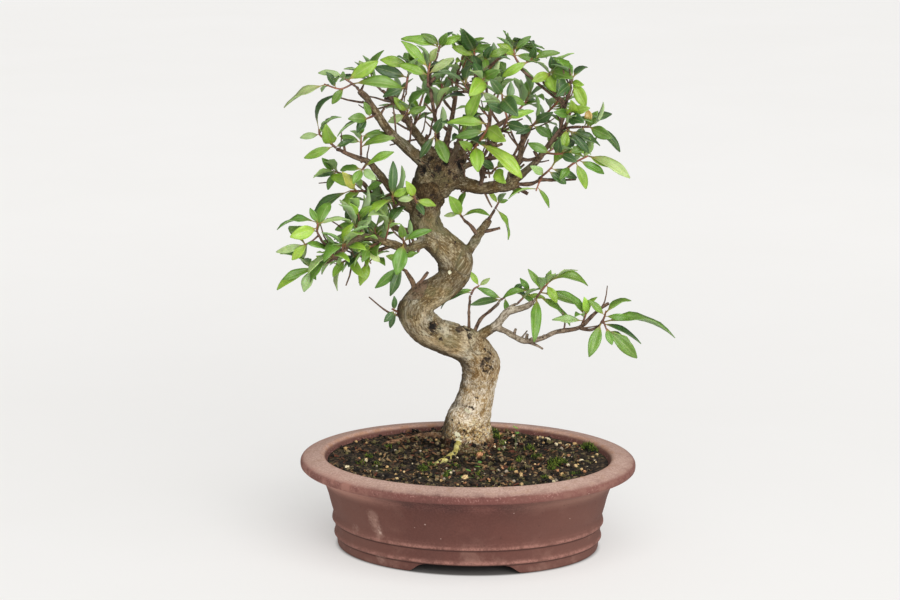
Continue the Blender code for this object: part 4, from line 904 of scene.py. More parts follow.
def clay_finish():
    clay = Finish("unglazed_clay", 0.86, 0.25)
    clay.split_place()
    fade, high, times = clay.fade, clay.high, clay.times
    cloud = clay.noise(34.0, 7.0, Roughness=0.62)
    grit = clay.noise(900.0, 3.0)
    worn = clay.noise(150.0, 5.0, Roughness=0.7)
    clay.colour = ramp(clay.tree, cloud, (0.32, (68, 42, 38)), (0.46, (80, 49, 45)),
                       (0.56, (93, 57, 52)), (0.68, (110, 70, 63)))
    # The body: paler low down and darker toward the lip, gritty, and paler toward both ends,
    # which is painted light from the sides over some dust
    clay.lay(high(18, 46, 0.3, 0.03), (138, 96, 84))
    clay.lay(fade(grit, 0.45, 0.62, 0.0, 0.22), (140, 98, 88))
    clay.lay(fade(grit, 0.36, 0.44, 0.2, 0.0), (72, 46, 42))
    aside = maths(clay.tree, "ABSOLUTE", maths(clay.tree, "SUBTRACT", clay.width, POT_X))
    side_light_and_dust = clay.mix(fade(clay.width, -60 * MM, 60 * MM), (186, 138, 122), (142, 105, 92))
    clay.lay(fade(aside, 20 * MM, 80 * MM, 0.0, 0.85), side_light_and_dust)
    # The lip's face, the pale top of the rim and the inner wall darkened by painted shade
    lip = clay.band(48.8, 49.8, RIM_TOP - 3.0, RIM_TOP - 1.2)
    clay.lay(times(lip, fade(worn, 0.35, 0.6, 0.35, 0.85)), (107, 66, 60))
    uneven = clay.plus(clay.height, fade(worn, 0.3, 0.7, -0.4 * MM, 0.4 * MM))
    rim = fade(uneven, (RIM_TOP - 3.4) * MM, (RIM_TOP - 1.0) * MM)
    clay.lay(times(rim, fade(cloud, 0.25, 0.6, 0.75, 1.0)),
             clay.mix(fade(grit, 0.4, 0.6), (176, 144, 131), (194, 163, 149)))
    clay.lay(times(rim, fade(worn, 0.5, 0.7, 0.0, 0.5)), (158, 122, 100))
    inner = fade(oval_share(clay, INSIDE[0][0]), 0.995, 1.05, 1.0, 0.0)
    clay.lay(times(rim, inner, fade(worn, 0.4, 0.62, 0.15, 0.8)), (176, 128, 98))
    # Painted shade on the inner wall below the rim
    clay.lay(times(inner, high(RIM_TOP - 2.5, RIM_TOP - 1.0, 0.75, 0.0)), (88, 54, 47))
    clay.lay(times(clay.patches(55.0, 0.22, 0.16), high(2, 30, 0.6, 0.12)), (158, 122, 108))
    # The bands: crests paler with rubbed dust and a painted highlight, over creases darkened
    # with dirt and painted shade
    crest_dust_and_highlight, crease_dirt_and_shade = 0.0, 0.0
    for low, top in BANDS:
        crest_dust_and_highlight = clay.plus(times(high(low, low + 0.7), high(low + 1.7, low + 3.4, 1.0, 0.15),
                                 high(top - 1, top, 1.0, 0.0)), crest_dust_and_highlight)
        crease_dirt_and_shade = clay.plus(clay.band(low - 1.0, low - 0.2, low, low + 0.5), crease_dirt_and_shade)
    clay.lay(times(crest_dust_and_highlight, fade(worn, 0.38, 0.56, 0.3, 0.95), fade(grit, 0.38, 0.56, 0.55, 1.0)),
             (148, 105, 94))
    clay.lay(times(crease_dirt_and_shade, 0.75), (58, 36, 33))
    # Iron specks, chips on the lip's edge, chalk, and the rubbed places
    iron = clay.specks(420.0, 0.24, 0.10)
    clay.lay(times(iron, 0.4), (70, 46, 41))
    edge = clay.band(RIM_TOP - 7.0, RIM_TOP - 4.0, RIM_TOP - 3.4, RIM_TOP - 2.0)
    chips = times(fade(worn, 0.42, 0.62, 0.05, 0.6), edge, fade(grit, 0.54, 0.64))
    clay.lay(chips, (172, 130, 120))
    clay.lay(times(clay.specks(260.0, 0.12, 0.05), 0.5), (200, 172, 158))
    ragged = clay.noise(700.0, 4.0)
    rubbed_spots(clay, ragged, HAZE, (172, 138, 124), 0.35)
    rubbed_spots(clay, ragged, SCUFFS, (210, 186, 172), 0.75)
    rubbed_spots(clay, ragged, SMUDGES, (178, 146, 104), 0.85)
    clay.give("Roughness", fade(cloud, 0.3, 0.7, 0.78, 0.93))
    return clay.done(clay.plus(clay.tooth(1300.0), times(iron, -0.6), times(chips, 0.8)),
                     0.2 * MM, 0.8)


print("pot:", settle(pot, clay_finish(), "pot_clay", "pot"), "triangles")

# %% [markdown]
# ## Drain screens
#
# Over each drain hole lies a square of black plastic net, which keeps the soil in. A grid whose
# edges are thickened by a Wireframe modifier is just that, so the grid is the model.

# %% Drain screens
SCREEN_SIDE = 24 * MM
SCREEN_MESHES = 9


def net_finish():
    net = Finish("net_plastic", 0.5)
    net.colour = net.mix(net.patches(260.0, 0.4, 0.2), (24, 24, 26), (62, 50, 42))
    return net.done(net.tooth(1500.0), 0.05 * MM)


net_plastic = net_finish()
for solid in ("drain_mesh_left", "drain_mesh_right"):
    low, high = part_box(solid)
    bpy.ops.object.select_all(action="DESELECT")
    bpy.ops.mesh.primitive_grid_add(x_subdivisions=SCREEN_MESHES, y_subdivisions=SCREEN_MESHES,
                                    size=SCREEN_SIDE - 1 * MM, location=(low + high) / 2)
    screen = bpy.context.object
    screen.name = solid.replace("drain_mesh", "drain_net")
    wires = screen.modifiers.new("wires", "WIREFRAME")
    wires.thickness = 0.9 * MM
    wires.use_boundary = True
    wires.use_even_offset = False
    apply_all(screen)
    print(screen.name, settle(screen, net_plastic, "screen_plastic", solid), "triangles")

# %% [markdown]
# ## The soil
#
# The soil is dark and crumbly and rises in a low mound round the trunk. Its body is raised ring by
# ring like the pot, and its many rings on top are then lifted by a formula: the mound, soft waves,
# and crumbs from a noise. What lies loose on it is modelled afterwards, one grain of each kind.

# %% The soil's body
SOIL_EDGE = 52.0
MOUND_RISE = 8.0 * MM
MOUND_REACH = 30 * MM
SOIL_SIDES = 176
SOIL_RINGS = 56
EDGE_INSET = 16.3
SOIL_WAVES = (410, 370, 190)
MOUND_MIDDLE = spot(*TRUNK[2][:3])


def soil_top(x, y):
    """The height of the soil at a place, in metres."""
    reach = math.hypot(x - MOUND_MIDDLE.x, y - MOUND_MIDDLE.y) / MOUND_REACH
    along, deep, slant = SOIL_WAVES
    wave = math.sin(x * along + 1.3) * math.cos(y * deep) + math.sin((x + 1.7 * y) * slant)
    return SOIL_EDGE * MM + MOUND_RISE * math.exp(-reach * reach) + 0.7 * MM * wave


def crumbs(x, y):
    """Small lumps and hollows of loose soil, which shrank from the wall at the right end."""
    coarse = noise.noise((x / (5 * MM), y / (5 * MM), 3.1))
    fine = noise.noise((x / (1.7 * MM), y / (1.7 * MM), 8.4))
    right_end = (x - POT_X) / oval_half(EDGE_INSET)[0]
    shrunk = 4.5 * min(1, max(0, (right_end - 0.86) / 0.1)) ** 2
    return (1.0 * coarse + 0.8 * abs(fine) - 0.3 - shrunk) * MM


side_outline = [(33.0, 11.3), (28.0, 17.3), (23.5, 38.5), (21.1, 47.5), (EDGE_INSET, SOIL_EDGE)]
top_outline = []
for ring in range(1, SOIL_RINGS):
    top_outline.append((EDGE_INSET + (POT_HALF_WIDTH / MM - EDGE_INSET - 0.6) * ring / SOIL_RINGS,
                        SOIL_EDGE))
soil = raised("soil_bed", side_outline + top_outline, SOIL_SIDES)
places = places_of(soil.data)
for place in places:
    if place[2] > (SOIL_EDGE - 0.01) * MM:
        place[2] = soil_top(place[0], place[1]) + crumbs(place[0], place[1])
move_to(soil.data, places)
smooth(soil)
print("soil bed:", len(soil.data.polygons), "faces")


# %% Soil finish
def soil_finish():
    earth = Finish("dark_soil", 0.95, 0.25)
    cells = add(earth.tree, "TexVoronoi", Vector=earth.place, Scale=700.0)
    pick = add(earth.tree, "SeparateColor", Color=cells.outputs["Color"])
    earth.colour = ramp(earth.tree, pick.outputs[0], (0.0, (24, 20, 16)), (0.45, (46, 38, 30)),
                        (0.72, (72, 58, 44)), (0.95, (112, 92, 68)))
    earth.lay(earth.times(earth.patches(60.0, 0.5, 0.15), 0.5), (24, 20, 17))
    earth.lay(earth.times(earth.patches(90.0, 0.34, 0.08), 0.45), (58, 72, 30))
    lumps = maths(earth.tree, "SUBTRACT", 1.0, cells.outputs["Distance"])
    return earth.done(earth.plus(lumps, earth.times(earth.tooth(1600.0), 0.5)), 0.6 * MM)


print("soil:", settle(soil, soil_finish(), "potting_soil", "soil"), "triangles")

# %% [markdown]
# Loose grains: dark crumbs, flat bits of bark, and pale pumice, which lies mostly at the right and
# along the front. Moss stands in tufts, and a few round-leaved seedlings have come up. Each kind
# is modelled once, from a ball or a cone, and copies of its corners are turned, scaled and set
# half into the soil. A tint goes with each copy.

# %% One grain of each kind
def taken_shape():
    """The corners and faces of the active object, which is deleted."""
    piece = bpy.context.object
    shape = places_of(piece.data)
    faces = [tuple(face.vertices) for face in piece.data.polygons]
    bpy.data.objects.remove(piece)
    return shape, faces


def grain_shape(lumpiness, size, seed):
    """A small stone: a low ball, its corners moved by a noise and then flattened."""
    bpy.ops.object.select_all(action="DESELECT")
    bpy.ops.mesh.primitive_uv_sphere_add(segments=7, ring_count=5, radius=1)
    shape, faces = taken_shape()
    for corner in shape:
        corner *= 1 + lumpiness * noise.noise(Vector(corner) * 1.4 + Vector((seed, 0, 0)))
    return shape * np.array(size), faces


def moss_shape(lean):
    """A moss blade: a slim cone, bent over toward its tip."""
    bpy.ops.object.select_all(action="DESELECT")
    bpy.ops.mesh.primitive_cone_add(vertices=4, radius1=0.16, radius2=0.03, depth=1)
    bpy.ops.object.mode_set(mode="EDIT")
    bpy.ops.mesh.subdivide(number_cuts=1)
    bpy.ops.object.mode_set(mode="OBJECT")
    shape, faces = taken_shape()
    shape[:, 2] += 0.5
    shape[:, 0] += lean * shape[:, 2] ** 2
    return shape, faces


GRAINS = {
    "crumb": [grain_shape(0.9, (1.0, 0.9, 0.8), seed) for seed in (1, 2, 3)],
    "bark_bit": [grain_shape(0.7, (1.5, 0.7, 0.3), seed) for seed in (4, 5, 6)],
    "pumice": [grain_shape(0.45, (1.0, 0.85, 0.8), seed) for seed in (7, 8, 9)],
    "moss": [moss_shape(lean) for lean in (0.2, 0.5, 0.8)],
    "round_leaf": [grain_shape(0.2, (1.0, 0.9, 0.16), 11)],
}
GRAIN_TINTS = {
    "crumb": ((26, 22, 18), (44, 36, 29), (84, 68, 50), (36, 32, 27), (104, 96, 60),
              (132, 116, 86)),
    "bark_bit": ((92, 62, 44), (122, 88, 60), (66, 50, 39), (150, 118, 82), (104, 60, 42)),
    "pumice": ((226, 196, 142), (208, 172, 118), (238, 222, 182), (170, 156, 136),
               (196, 142, 102)),
    "moss": ((64, 84, 26), (90, 110, 34), (126, 142, 52), (40, 52, 20)),
    "round_leaf": ((104, 146, 66), (126, 164, 78), (88, 128, 58)),
}
print("faces of a crumb and a moss blade:", len(GRAINS["crumb"][0][1]), len(GRAINS["moss"][0][1]))

# %% Scatter the grains
COPIES = 2600
# The chance of pumice, what it gains toward the right and toward the front, and that of bark bits
PUMICE_CHANCES = (0.045, 0.12, 0.05)
BARK_BIT_CHANCE = 0.4
# Pale grains that stand out in the front view: across, down, half width in mm
SEEN_PUMICE = rows("""
465.4 478 2.3, 535 435 2.2, 547 440 2, 540 437 1.2, 560 443 1.8, 561.5 449.5 1.3, 568 447 1.4,
574.5 444.5 1.5, 568.5 456 1.6, 581 462 1.9, 592.5 457 1.5, 604 464.5 1.8, 568 468 1.4,
575.5 467 1.4, 506.5 473.5 1.3, 516 474 1.4, 521 474.5 1.3, 530 474.5 1.5, 500 444 1.7,
346 450.5 1.5, 356 442.5 1.2, 347 467.5 1.6, 368 471 1.6, 410 427.5 1.3, 388 431.5 1.3,
550 478 1.4, 556 480.5 1.5, 562 477 1.4, 554 483 1.2, 444 480 1.2, 395 472 1, 420 478 1,
380 455 0.9, 489 481 1.2, 540 470 1.2
""")
# Moss: across, down, half width in mm, and how many blades
MOSS = rows("""
590 449 4.4 210, 595 451 3.6 130, 585 448 2.8 70, 556 465 4.2 160, 563 463 3.6 90, 552 469 3 70,
494 438 3 60, 497 445 3.2 70, 503 451 2.6 50, 519 461 2.4 40, 544 479 2.4 45, 424 470 3.6 70,
432 468 2.4 40, 455 468 2.2 35, 446 476 2.2 35, 478 478 2.4 35, 368 457 2.4 35, 377 467 2.2 30,
401 431 2.4 35, 389 449 2 30, 360 464 2 25, 449 438 2.4 45, 451 446 2.6 45, 530 452 3.4 45,
512 470 2.2 30, 575 474 2.4 35, 538 458 3.4 45, 484 450 2.2 30
""")
# Seedlings: across and down of the foot and of each round leaf, and the leaf's half width in mm
SEEDLINGS = (
    ((515, 455), ((513, 428.5, 2.0), (515, 434, 1.6))),
    ((476, 478), ((470, 473, 2.4), (475, 466, 1.8))),
    ((484, 472), ((482, 464, 1.9), (484, 459.5, 1.3))), ((456, 474), ((455, 467.5, 1.5),)),
    ((500, 455), ((497, 450, 1.3), (503, 450, 1.2))), ((546, 482), ((543, 478.5, 1.5),)),
)
SEEDLING_STEM = (120, 132, 84)


def is_in_bed(x, y):
    """Whether a place is on the soil, 1 mm or more from its edge."""
    wide, deep = oval_half(EDGE_INSET + 1.0)
    return ((x - POT_X) / wide) ** 2 + (y / deep) ** 2 < 1


def random_turn(rng):
    return np.array(Matrix.Rotation(rng.uniform(0, math.tau), 3, "Z")
                    @ Matrix.Rotation(rng.uniform(-0.5, 0.5), 3, "X")
                    @ Matrix.Rotation(rng.uniform(-0.5, 0.5), 3, "Y"))


def scatter_rows(rng):
    """Each grain as (kind, x, y, half width in mm)."""
    grains = []
    for across, down, size in SEEN_PUMICE:
        place = seen_on(soil, across, down)
        grains.append(("pumice", place.x, place.y, size))
    wide, deep = oval_half(EDGE_INSET)
    plain, right, front = PUMICE_CHANCES
    while len(grains) < COPIES:
        x, y = POT_X + rng.uniform(-wide, wide), rng.uniform(-deep, deep)
        if not is_in_bed(x, y):
            continue
        rightness = (x - POT_X) / wide
        chance = rng.random()
        if chance < plain + right * max(0, rightness) + front * max(0, -y / deep):
            grains.append(("pumice", x, y, rng.uniform(0.4, 1.2)))
        elif chance < BARK_BIT_CHANCE:
            grains.append(("bark_bit", x, y, rng.uniform(0.6, 1.5)))
        else:
            grains.append(("crumb", x, y, rng.uniform(0.5, 1.5)))
    return grains


def copies_mesh(name, copies):
    """One object from copies, each a set of corners, faces and a tint."""
    corners, faces, tints, first = [], [], [], 0
    for shape, shape_faces, tint in copies:
        corners.append(shape)
        faces += [[first + index for index in face] for face in shape_faces]
        tints.append(np.tile(tone(*tint), (len(shape), 1)))
        first += len(shape)
    return new_piece(name, corners, faces, tint=tints)


def loose_grains():
    rng = random.Random(SEED)
    copies = []
    for kind, x, y, size in scatter_rows(rng):
        shape, shape_faces = rng.choice(GRAINS[kind])
        turned = shape @ random_turn(rng).T * size * MM
        place = np.array((x, y, soil_top(x, y) + crumbs(x, y) + 0.25 * size * MM))
        copies.append((turned + place, shape_faces, rng.choice(GRAIN_TINTS[kind])))
    return copies_mesh("loose_grains", copies)


def moss_and_seedlings():
    rng = random.Random(SEED + 1)
    copies = []
    for across, down, reach, blades in MOSS:
        middle = seen_on(soil, across, down)
        for _ in range(int(blades)):
            x = middle.x + rng.gauss(0, 0.5) * reach * MM
            y = middle.y + rng.gauss(0, 0.5) * reach * MM
            shape, shape_faces = rng.choice(GRAINS["moss"])
            turned = shape @ random_turn(rng).T * rng.uniform(1.2, 2.6) * MM
            away = math.hypot(x - middle.x, y - middle.y) / (reach * MM)
            mound = 0.9 * reach * MM * math.exp(-2 * away ** 2) * rng.random()
            place = np.array((x, y, soil_top(x, y) + crumbs(x, y) - 0.2 * MM + mound))
            copies.append((turned + place, shape_faces, rng.choice(GRAIN_TINTS["moss"])))
    for (across, down), leaves in SEEDLINGS:
        foot = seen_on(soil, across, down)
        for leaf_across, leaf_down, size in leaves:
            top = spot(leaf_across, leaf_down, 0)
            top += (foot - top).dot(FORWARD) * FORWARD
            shape, shape_faces = GRAINS["round_leaf"][0]
            turned = shape @ random_turn(rng).T * size * MM
            tint = rng.choice(GRAIN_TINTS["round_leaf"])
            copies.append((turned + np.array(top), shape_faces, tint))
            stem, stem_faces = GRAINS["moss"][0]
            along = Vector((0, 0, 1)).rotation_difference(top - foot).to_matrix()
            reach = (top - foot).length
            slim = stem * np.array((1.3 * MM, 1.3 * MM, reach))
            copies.append((slim @ np.array(along).T + np.array(foot), stem_faces, SEEDLING_STEM))
    return copies_mesh("moss_and_seedlings", copies)


def grain_finish():
    loose = Finish("grains", 0.9, 0.3)
    loose.colour = loose.read("tint", "Color")
    loose.dim(loose.patches(900.0, 0.4, 0.12), (150, 138, 128))
    return loose.done(loose.tooth(2200.0), 0.15 * MM)


grains = loose_grains()
only(grains)
bpy.ops.object.shade_smooth_by_angle(angle=math.radians(40))
grain_material = grain_finish()
print("grains:", settle(grains, grain_material, "potting_soil"), "triangles")
moss = moss_and_seedlings()
smooth(moss)
print("moss:", settle(moss, grain_material, "potting_soil"), "triangles")

# %% [markdown]
# ## The wood
#
# Trunk, roots and limbs grew as one piece of wood. The natural tool for wood is a curve with a
# radius at each point: Blender's bevel makes it round. The trunk and the thick limbs are then
# melted together by a voxel remesh, which gives the collars where limbs leave the trunk, and thin
# limbs and twigs stay as round bars sunk into them.

# %% Routes of the wood
THICK_LIMB = 3  # half width in drawing units
TWIG_HALF = 1.7
SHOOT_HALF = 1.25
GAP = 0.3 * MM
THIN_SHARE = 0.82
ROOT_SUNK = 0.8 * MM
ROOT_SHARE = 1.2
# The limbs that carry leaves, and so stubs and twigs as well
LEAFY_LIMBS = ["left_mid", "left_mid_back", "upper", "third", "crown_left", "crown_inner",
               "crown_middle", "crown_front", "right", "right_out", "right_out_up", "right_up",
               "right_front", "inner_right", "pale", "back_left", "back_middle", "back_right",
               "crown_inner", "crown_front", "right_front", "low_outer"]


def limb_route(limb):
    """Drawn points and radii of a limb whose half widths are given at its two ends."""
    start, end, *stations = limb
    radii = [(start + (end - start) * i / (len(stations) - 1)) * UNIT for i in range(len(stations))]
    return [spot(*station) for station in stations], radii


def carrier_of(start, heading, routes):
    """The limb's point that a shoot grows from: near it, below it and straight behind it."""
    best = None
    for points, radii in routes:
        for a, b, ra, rb in zip(points, points[1:], radii, radii[1:]):
            for step in range(5):
                t = step / 4
                point = a.lerp(b, t)
                reach = start - point
                away = reach.length * (1.7 - reach.normalized().dot(heading))
                if point.z > start.z + 2 * MM:
                    away *= 1.5
                if best is None or away < best[0]:
                    best = (away, point, ra + (rb - ra) * t)
    return best[1], best[2]


def twig_to(start, heading, routes):
    """A woody twig from the nearest limb to just short of a shoot's foot."""
    carrier, radius = carrier_of(start, heading, routes)
    end = start - heading * 1.2 * GAP
    thick = min(radius * 0.9, TWIG_HALF * UNIT)
    point = carrier - (end - carrier).normalized() * radius * 0.6
    neck = end - heading * min(0.35 * (end - carrier).length, 3 * MM)
    return [point, neck, end], [thick, thick, SHOOT_HALF * UNIT * 1.1]


def fine_route(points, radii, steps, knots, seed):
    """The route with more points, its radii uneven from small knots and dents."""
    fine = smoothed([(*point, radius) for point, radius in zip(points, radii)], steps)
    fine_points = [Vector(row[:3]) for row in fine]
    fine_radii = [row[3] * (1 + knots * noise.noise((i * 0.55, seed, 0.5)))
                  for i, row in enumerate(fine)]
    return fine_points, fine_radii


limb_routes = [limb_route(limb) for limb in LIMBS.values()]
root_routes = [limb_route(root) for root in ROOTS]
trunk_route = [spot(*row[:3]) for row in TRUNK], [row[3] * UNIT for row in TRUNK]
carriers = limb_routes + [(trunk_route[0][4:], trunk_route[1][4:])]
twig_routes = []
for stems, _, _ in SPRAYS:
    foot, second = spot(*stems[0][0]), spot(*stems[0][1])
    twig_routes.append(twig_to(foot, (second - foot).normalized(), carriers))
print(len(limb_routes), "limbs,", len(root_routes), "roots,", len(twig_routes), "twigs")

# %% Round bars along routes
def round_bars(name, routes, roundness):
    """Closed round bars along routes of points and radii, drawn as one bevelled curve."""
    bpy.ops.object.select_all(action="DESELECT")
    bpy.ops.curve.primitive_nurbs_path_add()
    curve = bpy.context.object
    curve.name = name
    shape = curve.data
    shape.splines.clear()
    for points, radii in routes:
        spline = shape.splines.new("POLY")
        spline.points.add(len(points) - 1)
        for handle, point, radius in zip(spline.points, points, radii):
            handle.co = (*point, 1)
            handle.radius = radius
    shape.bevel_depth = 1.0
    shape.bevel_resolution = roundness
    shape.use_fill_caps = True
    bpy.ops.object.convert(target="MESH")
    return cleaned(bpy.context.object)


def side_twig(name, rng, shortest, longest, radius, end_share):
    """A stub or twig that leaves a limb sideways, and then bends upward."""
    points, radii = limb_route(LIMBS[name])
    step = rng.randrange(1, len(points))
    foot = points[step - 1].lerp(points[step], rng.random())
    along = (points[step] - points[step - 1]).normalized()
    side = along.orthogonal().normalized()
    side.rotate(Matrix.Rotation(rng.uniform(0, math.tau), 3, along))
    heading = (along * rng.uniform(0, 0.9) + side + Vector((0, 0, 0.4))).normalized()
    route, turned = [foot], heading
    length = rng.uniform(shortest, longest) * MM + radii[step]
    for _ in range(3):
        route.append(route[-1] + turned * length / 3)
        turned = (turned + Vector([rng.uniform(-0.3, 0.3) for _ in range(3)])
                  + Vector((0, 0, 0.15))).normalized()
    return route, [radius * MM * (1 - (1 - end_share) * i / 3) for i in range(4)]


def is_in_foliage(place, limit=1.0):
    """Whether the front view shows a place inside the foliage's ovals."""
    across, down = drawing_point(place)
    return any(((across - x) / wide) ** 2 + ((down - y) / high) ** 2 < limit
               for x, y, wide, high in OUTLINES)


thick, thin = [], []
for number, (points, radii) in enumerate(limb_routes):
    if radii[0] > THICK_LIMB * UNIT:
        thick.append(fine_route(points, radii, 5, 0.16, number))
    else:
        slim = [radius * THIN_SHARE for radius in radii]
        thin.append(fine_route(points, slim, 5, 0.3, number))
for number, (points, radii) in enumerate(twig_routes, len(limb_routes)):
    thin.append(fine_route(points, [radius * THIN_SHARE for radius in radii], 4, 0.3, number))
rng = random.Random(SEED + 3)
for name in LEAFY_LIMBS * 5:
    thin.append(side_twig(name, rng, 1.5, 5, rng.uniform(0.7, 1.2), 0.8))
    route, radii = side_twig(name, rng, 8, 20, rng.uniform(0.45, 0.75), 0.6)
    if is_in_foliage(route[-1], 0.9):
        thin.append((route, radii))
roots = [fine_route(points, radii, 5, 0.3, 90 + i) for i, (points, radii) in enumerate(root_routes)]
for i, point in enumerate(roots[0][0]):
    point.z -= ROOT_SUNK
    roots[0][1][i] *= ROOT_SHARE
trunk_fine = fine_route(*trunk_route, 7, 0.0, 0)
trunk_bar = round_bars("trunk_bar", [trunk_fine], 22)
print("trunk bar:", len(trunk_bar.data.polygons), "faces")

# %% [markdown]
# The swellings come from the drawing: each pushes the bark near it outwards. Then the trunk, its
# roots and the thick limbs become one object, are remeshed as one skin and smoothed a little.

# %% Swell and melt together
VOXEL = 0.62 * MM


def nearest_axis(places, samples):
    """For each place, the nearest sample point of the wood's middle lines."""
    tree = KDTree(len(samples))
    for index, sample in enumerate(samples):
        tree.insert(sample, index)
    tree.balance()
    return [tree.find(place)[1] for place in places]


def swell(piece, axis_points):
    places = places_of(piece.data)
    nearest = nearest_axis(places, axis_points)
    out = places - np.array([axis_points[i] for i in nearest])
    out /= np.maximum(np.linalg.norm(out, axis=1), 1e-6)[:, None]
    for across, down, depth, reach, rise in BURLS:
        near = np.linalg.norm(places - np.array(spot(across, down, depth)), axis=1) / (reach * UNIT)
        places += out * (rise * UNIT * np.exp(-near * near))[:, None]
    move_to(piece.data, places)


swell(trunk_bar, trunk_fine[0])
thick_bars = round_bars("thick_bars", thick + roots[1:], 6)
wood = joined("old_wood", [trunk_bar, thick_bars])
skin = wood.modifiers.new("skin", "REMESH")
skin.mode = "VOXEL"
skin.voxel_size = VOXEL
ease = wood.modifiers.new("ease", "SMOOTH")
ease.factor = 0.5
ease.iterations = 3
apply_all(wood)
print("old wood:", len(wood.data.polygons), "faces")

# %% [markdown]
# Bark has a direction: its ridges and cracks run along the wood. So every corner gets a
# straightened place, as if the wood were one straight bar: the way along the limb, and the offset
# from its middle. It is written to the mesh as the attribute `grain`, which the bark material
# reads too.

# %% Straightened places along the wood
def route_samples(routes):
    """Sample points of routes with the way along, two directions across, and the radius."""
    samples = []
    along = 0.0
    for points, radii in routes:
        for i, (point, radius) in enumerate(zip(points, radii)):
            before, after = points[max(i - 1, 0)], points[min(i + 1, len(points) - 1)]
            tangent = (after - before).normalized()
            side = tangent.cross(TOWARD_VIEWER).normalized()
            along += (point - before).length
            samples.append((point, along, side, tangent.cross(side), radius))
        along += 0.5
    return samples


def straightened(piece, samples):
    """Writes the straightened place and the limb's radius to every corner."""
    places = places_of(piece.data)
    nearest = np.array(nearest_axis(places, [sample[0] for sample in samples]))
    points, along, side, other, radii = [np.array(column)[nearest] for column in zip(*samples)]
    offset = places - points
    flat = np.stack([along, (offset * side).sum(1), (offset * other).sum(1)], axis=1)
    write_attribute(piece.data, "grain", flat)
    write_attribute(piece.data, "girth", radii)
    return flat, radii


wood_samples = route_samples([trunk_fine] + thick + roots[1:])
flat, girth = straightened(wood, wood_samples)
print("girth from", girth.min().round(4), "to", girth.max().round(4))

# %% [markdown]
# Now the bark is carved: lumps and dents, small chips, knobs round the foot, and old wounds. A
# wound is sunk with a raised lip round it, as bark closes over a cut. Its mask is kept for the
# dark wood inside and the painted shade in its deep holes, and the carved height for painted shade
# in the hollows.

# %% Carve the bark
KNOBS_TOP = 74  # mm, where the knobbly foot ends
# Wounds in the front view: across, down, reach and sink in drawing units, and how dark they are,
# less than none for pale fresh wood; a later one covers an earlier one
WOUNDS = rows("""
435 330 8.5 0.5 0.36, 433.5 326.5 4.4 3 1.15, 441 339 2.6 0.8 0.7, 459 329 5 1.4 0.75,
466 327.5 6.5 2.2 0.95, 475 330 5.5 1.6 0.9, 470 336 4 1 0.7, 488.3 367.5 7 -0.6 0.43,
484.5 349 1.5 0.9 0.72, 486.3 350.3 1.5 0.9 0.72, 488 351.8 1.5 0.9 0.72, 489.6 353.4 1.5 0.9 0.72,
491 355.2 1.4 0.9 0.7, 477 398.4 1.4 0.9 0.74, 475.2 397.2 1.2 0.6 0.72, 468 410 3.6 -0.5 -0.7,
462.3 406.2 1.4 0.7 0.66, 464.6 406 1.5 0.7 0.7, 466.8 406.3 1.5 0.7 0.72, 469.2 407 1.5 0.7 0.72,
471.6 407.8 1.5 0.7 0.7, 473.6 409.3 1.4 0.6 0.9, 412 316 4 0.5 0.42, 450 272 2.2 0.6 -0.9,
457 434 3.6 0.3 -0.9, 458.5 441 3.4 0.3 -0.9, 447 424 1.6 1 0.8, 459 423 1.3 1 0.8,
464 431 1.6 1 0.9, 452 420 1.2 0.9 0.7, 424 166 10 1.2 0.42, 461 163 11 1.2 0.44,
448 150 4 1.6 0.9, 441 156 10 1 0.4, 440 180 12 0.4 0.3, 462 165 5 2.6 1, 469 170 3 1.4 0.9,
422 170 4.2 2 1, 430 158 3.4 1.8 0.9, 450 172 2.8 1.2 0.7, 505 180 6 1.2 0.4, 512 175 3.4 1.2 0.9,
424 232 5 1.2 0.42, 434 198 6 1.2 0.42, 418 197 5 1 0.4, 455 243 2.4 0.8 0.7, 421 214 5 0.8 0.4,
438 222 4.6 0.9 0.42, 446 187 3 0.9 0.6, 428 205 2.2 1 0.8, 438 168 4 1.6 0.9, 446 163 3.2 1.6 1,
433 176 2.6 1 0.8, 455 178 3 0.9 0.7
""")
# The scar ring of a cut limb: its middle, its half sizes, and the width and sink of its groove
SCAR = (488.0, 366.5, 6.2, 8.0, 2.5, 1.6)


def scar_marks():
    """The ring of a closed wound as a row of small marks, deep on its upper left."""
    across, down, wide, high, reach, sink = SCAR
    for step in range(20):
        angle = math.tau * step / 20
        deep = max(0, math.cos(angle - math.radians(230)))
        yield (across + wide * math.cos(angle), down + high * math.sin(angle),
               reach * (0.6 + 0.4 * deep), sink * (0.5 + 0.5 * deep), 0.46 + 0.34 * deep)


def bark_rise(flat_place, place):
    """How far the bark stands out at a straightened place and its real one, all in mm."""
    along, side, other = flat_place
    ridge = abs(noise.noise((along / 8, side / 2.2, other / 2.2)))
    lump = noise.noise((along / 7, side / 5.5, other / 5.5))
    chip = noise.noise((along / 2.6, side / 1.4, other / 1.4))
    rise = 0.35 * (0.3 - ridge) + 0.75 * lump + 0.4 * chip
    low = min(1, (KNOBS_TOP - place[2]) / 8)
    if low > 0:
        nearest, second = noise.voronoi(Vector(place) / 2.6)[0][:2]
        knob = 2.4 * min(second - nearest, 0.4) - 0.5
        rise += low * (1.4 * knob + 0.4 * noise.noise(Vector(place) / 1.3) - 0.8 * rise)
    return rise * (1 + 0.7 * min(1, max(0, (place[2] - 195) / 15)))


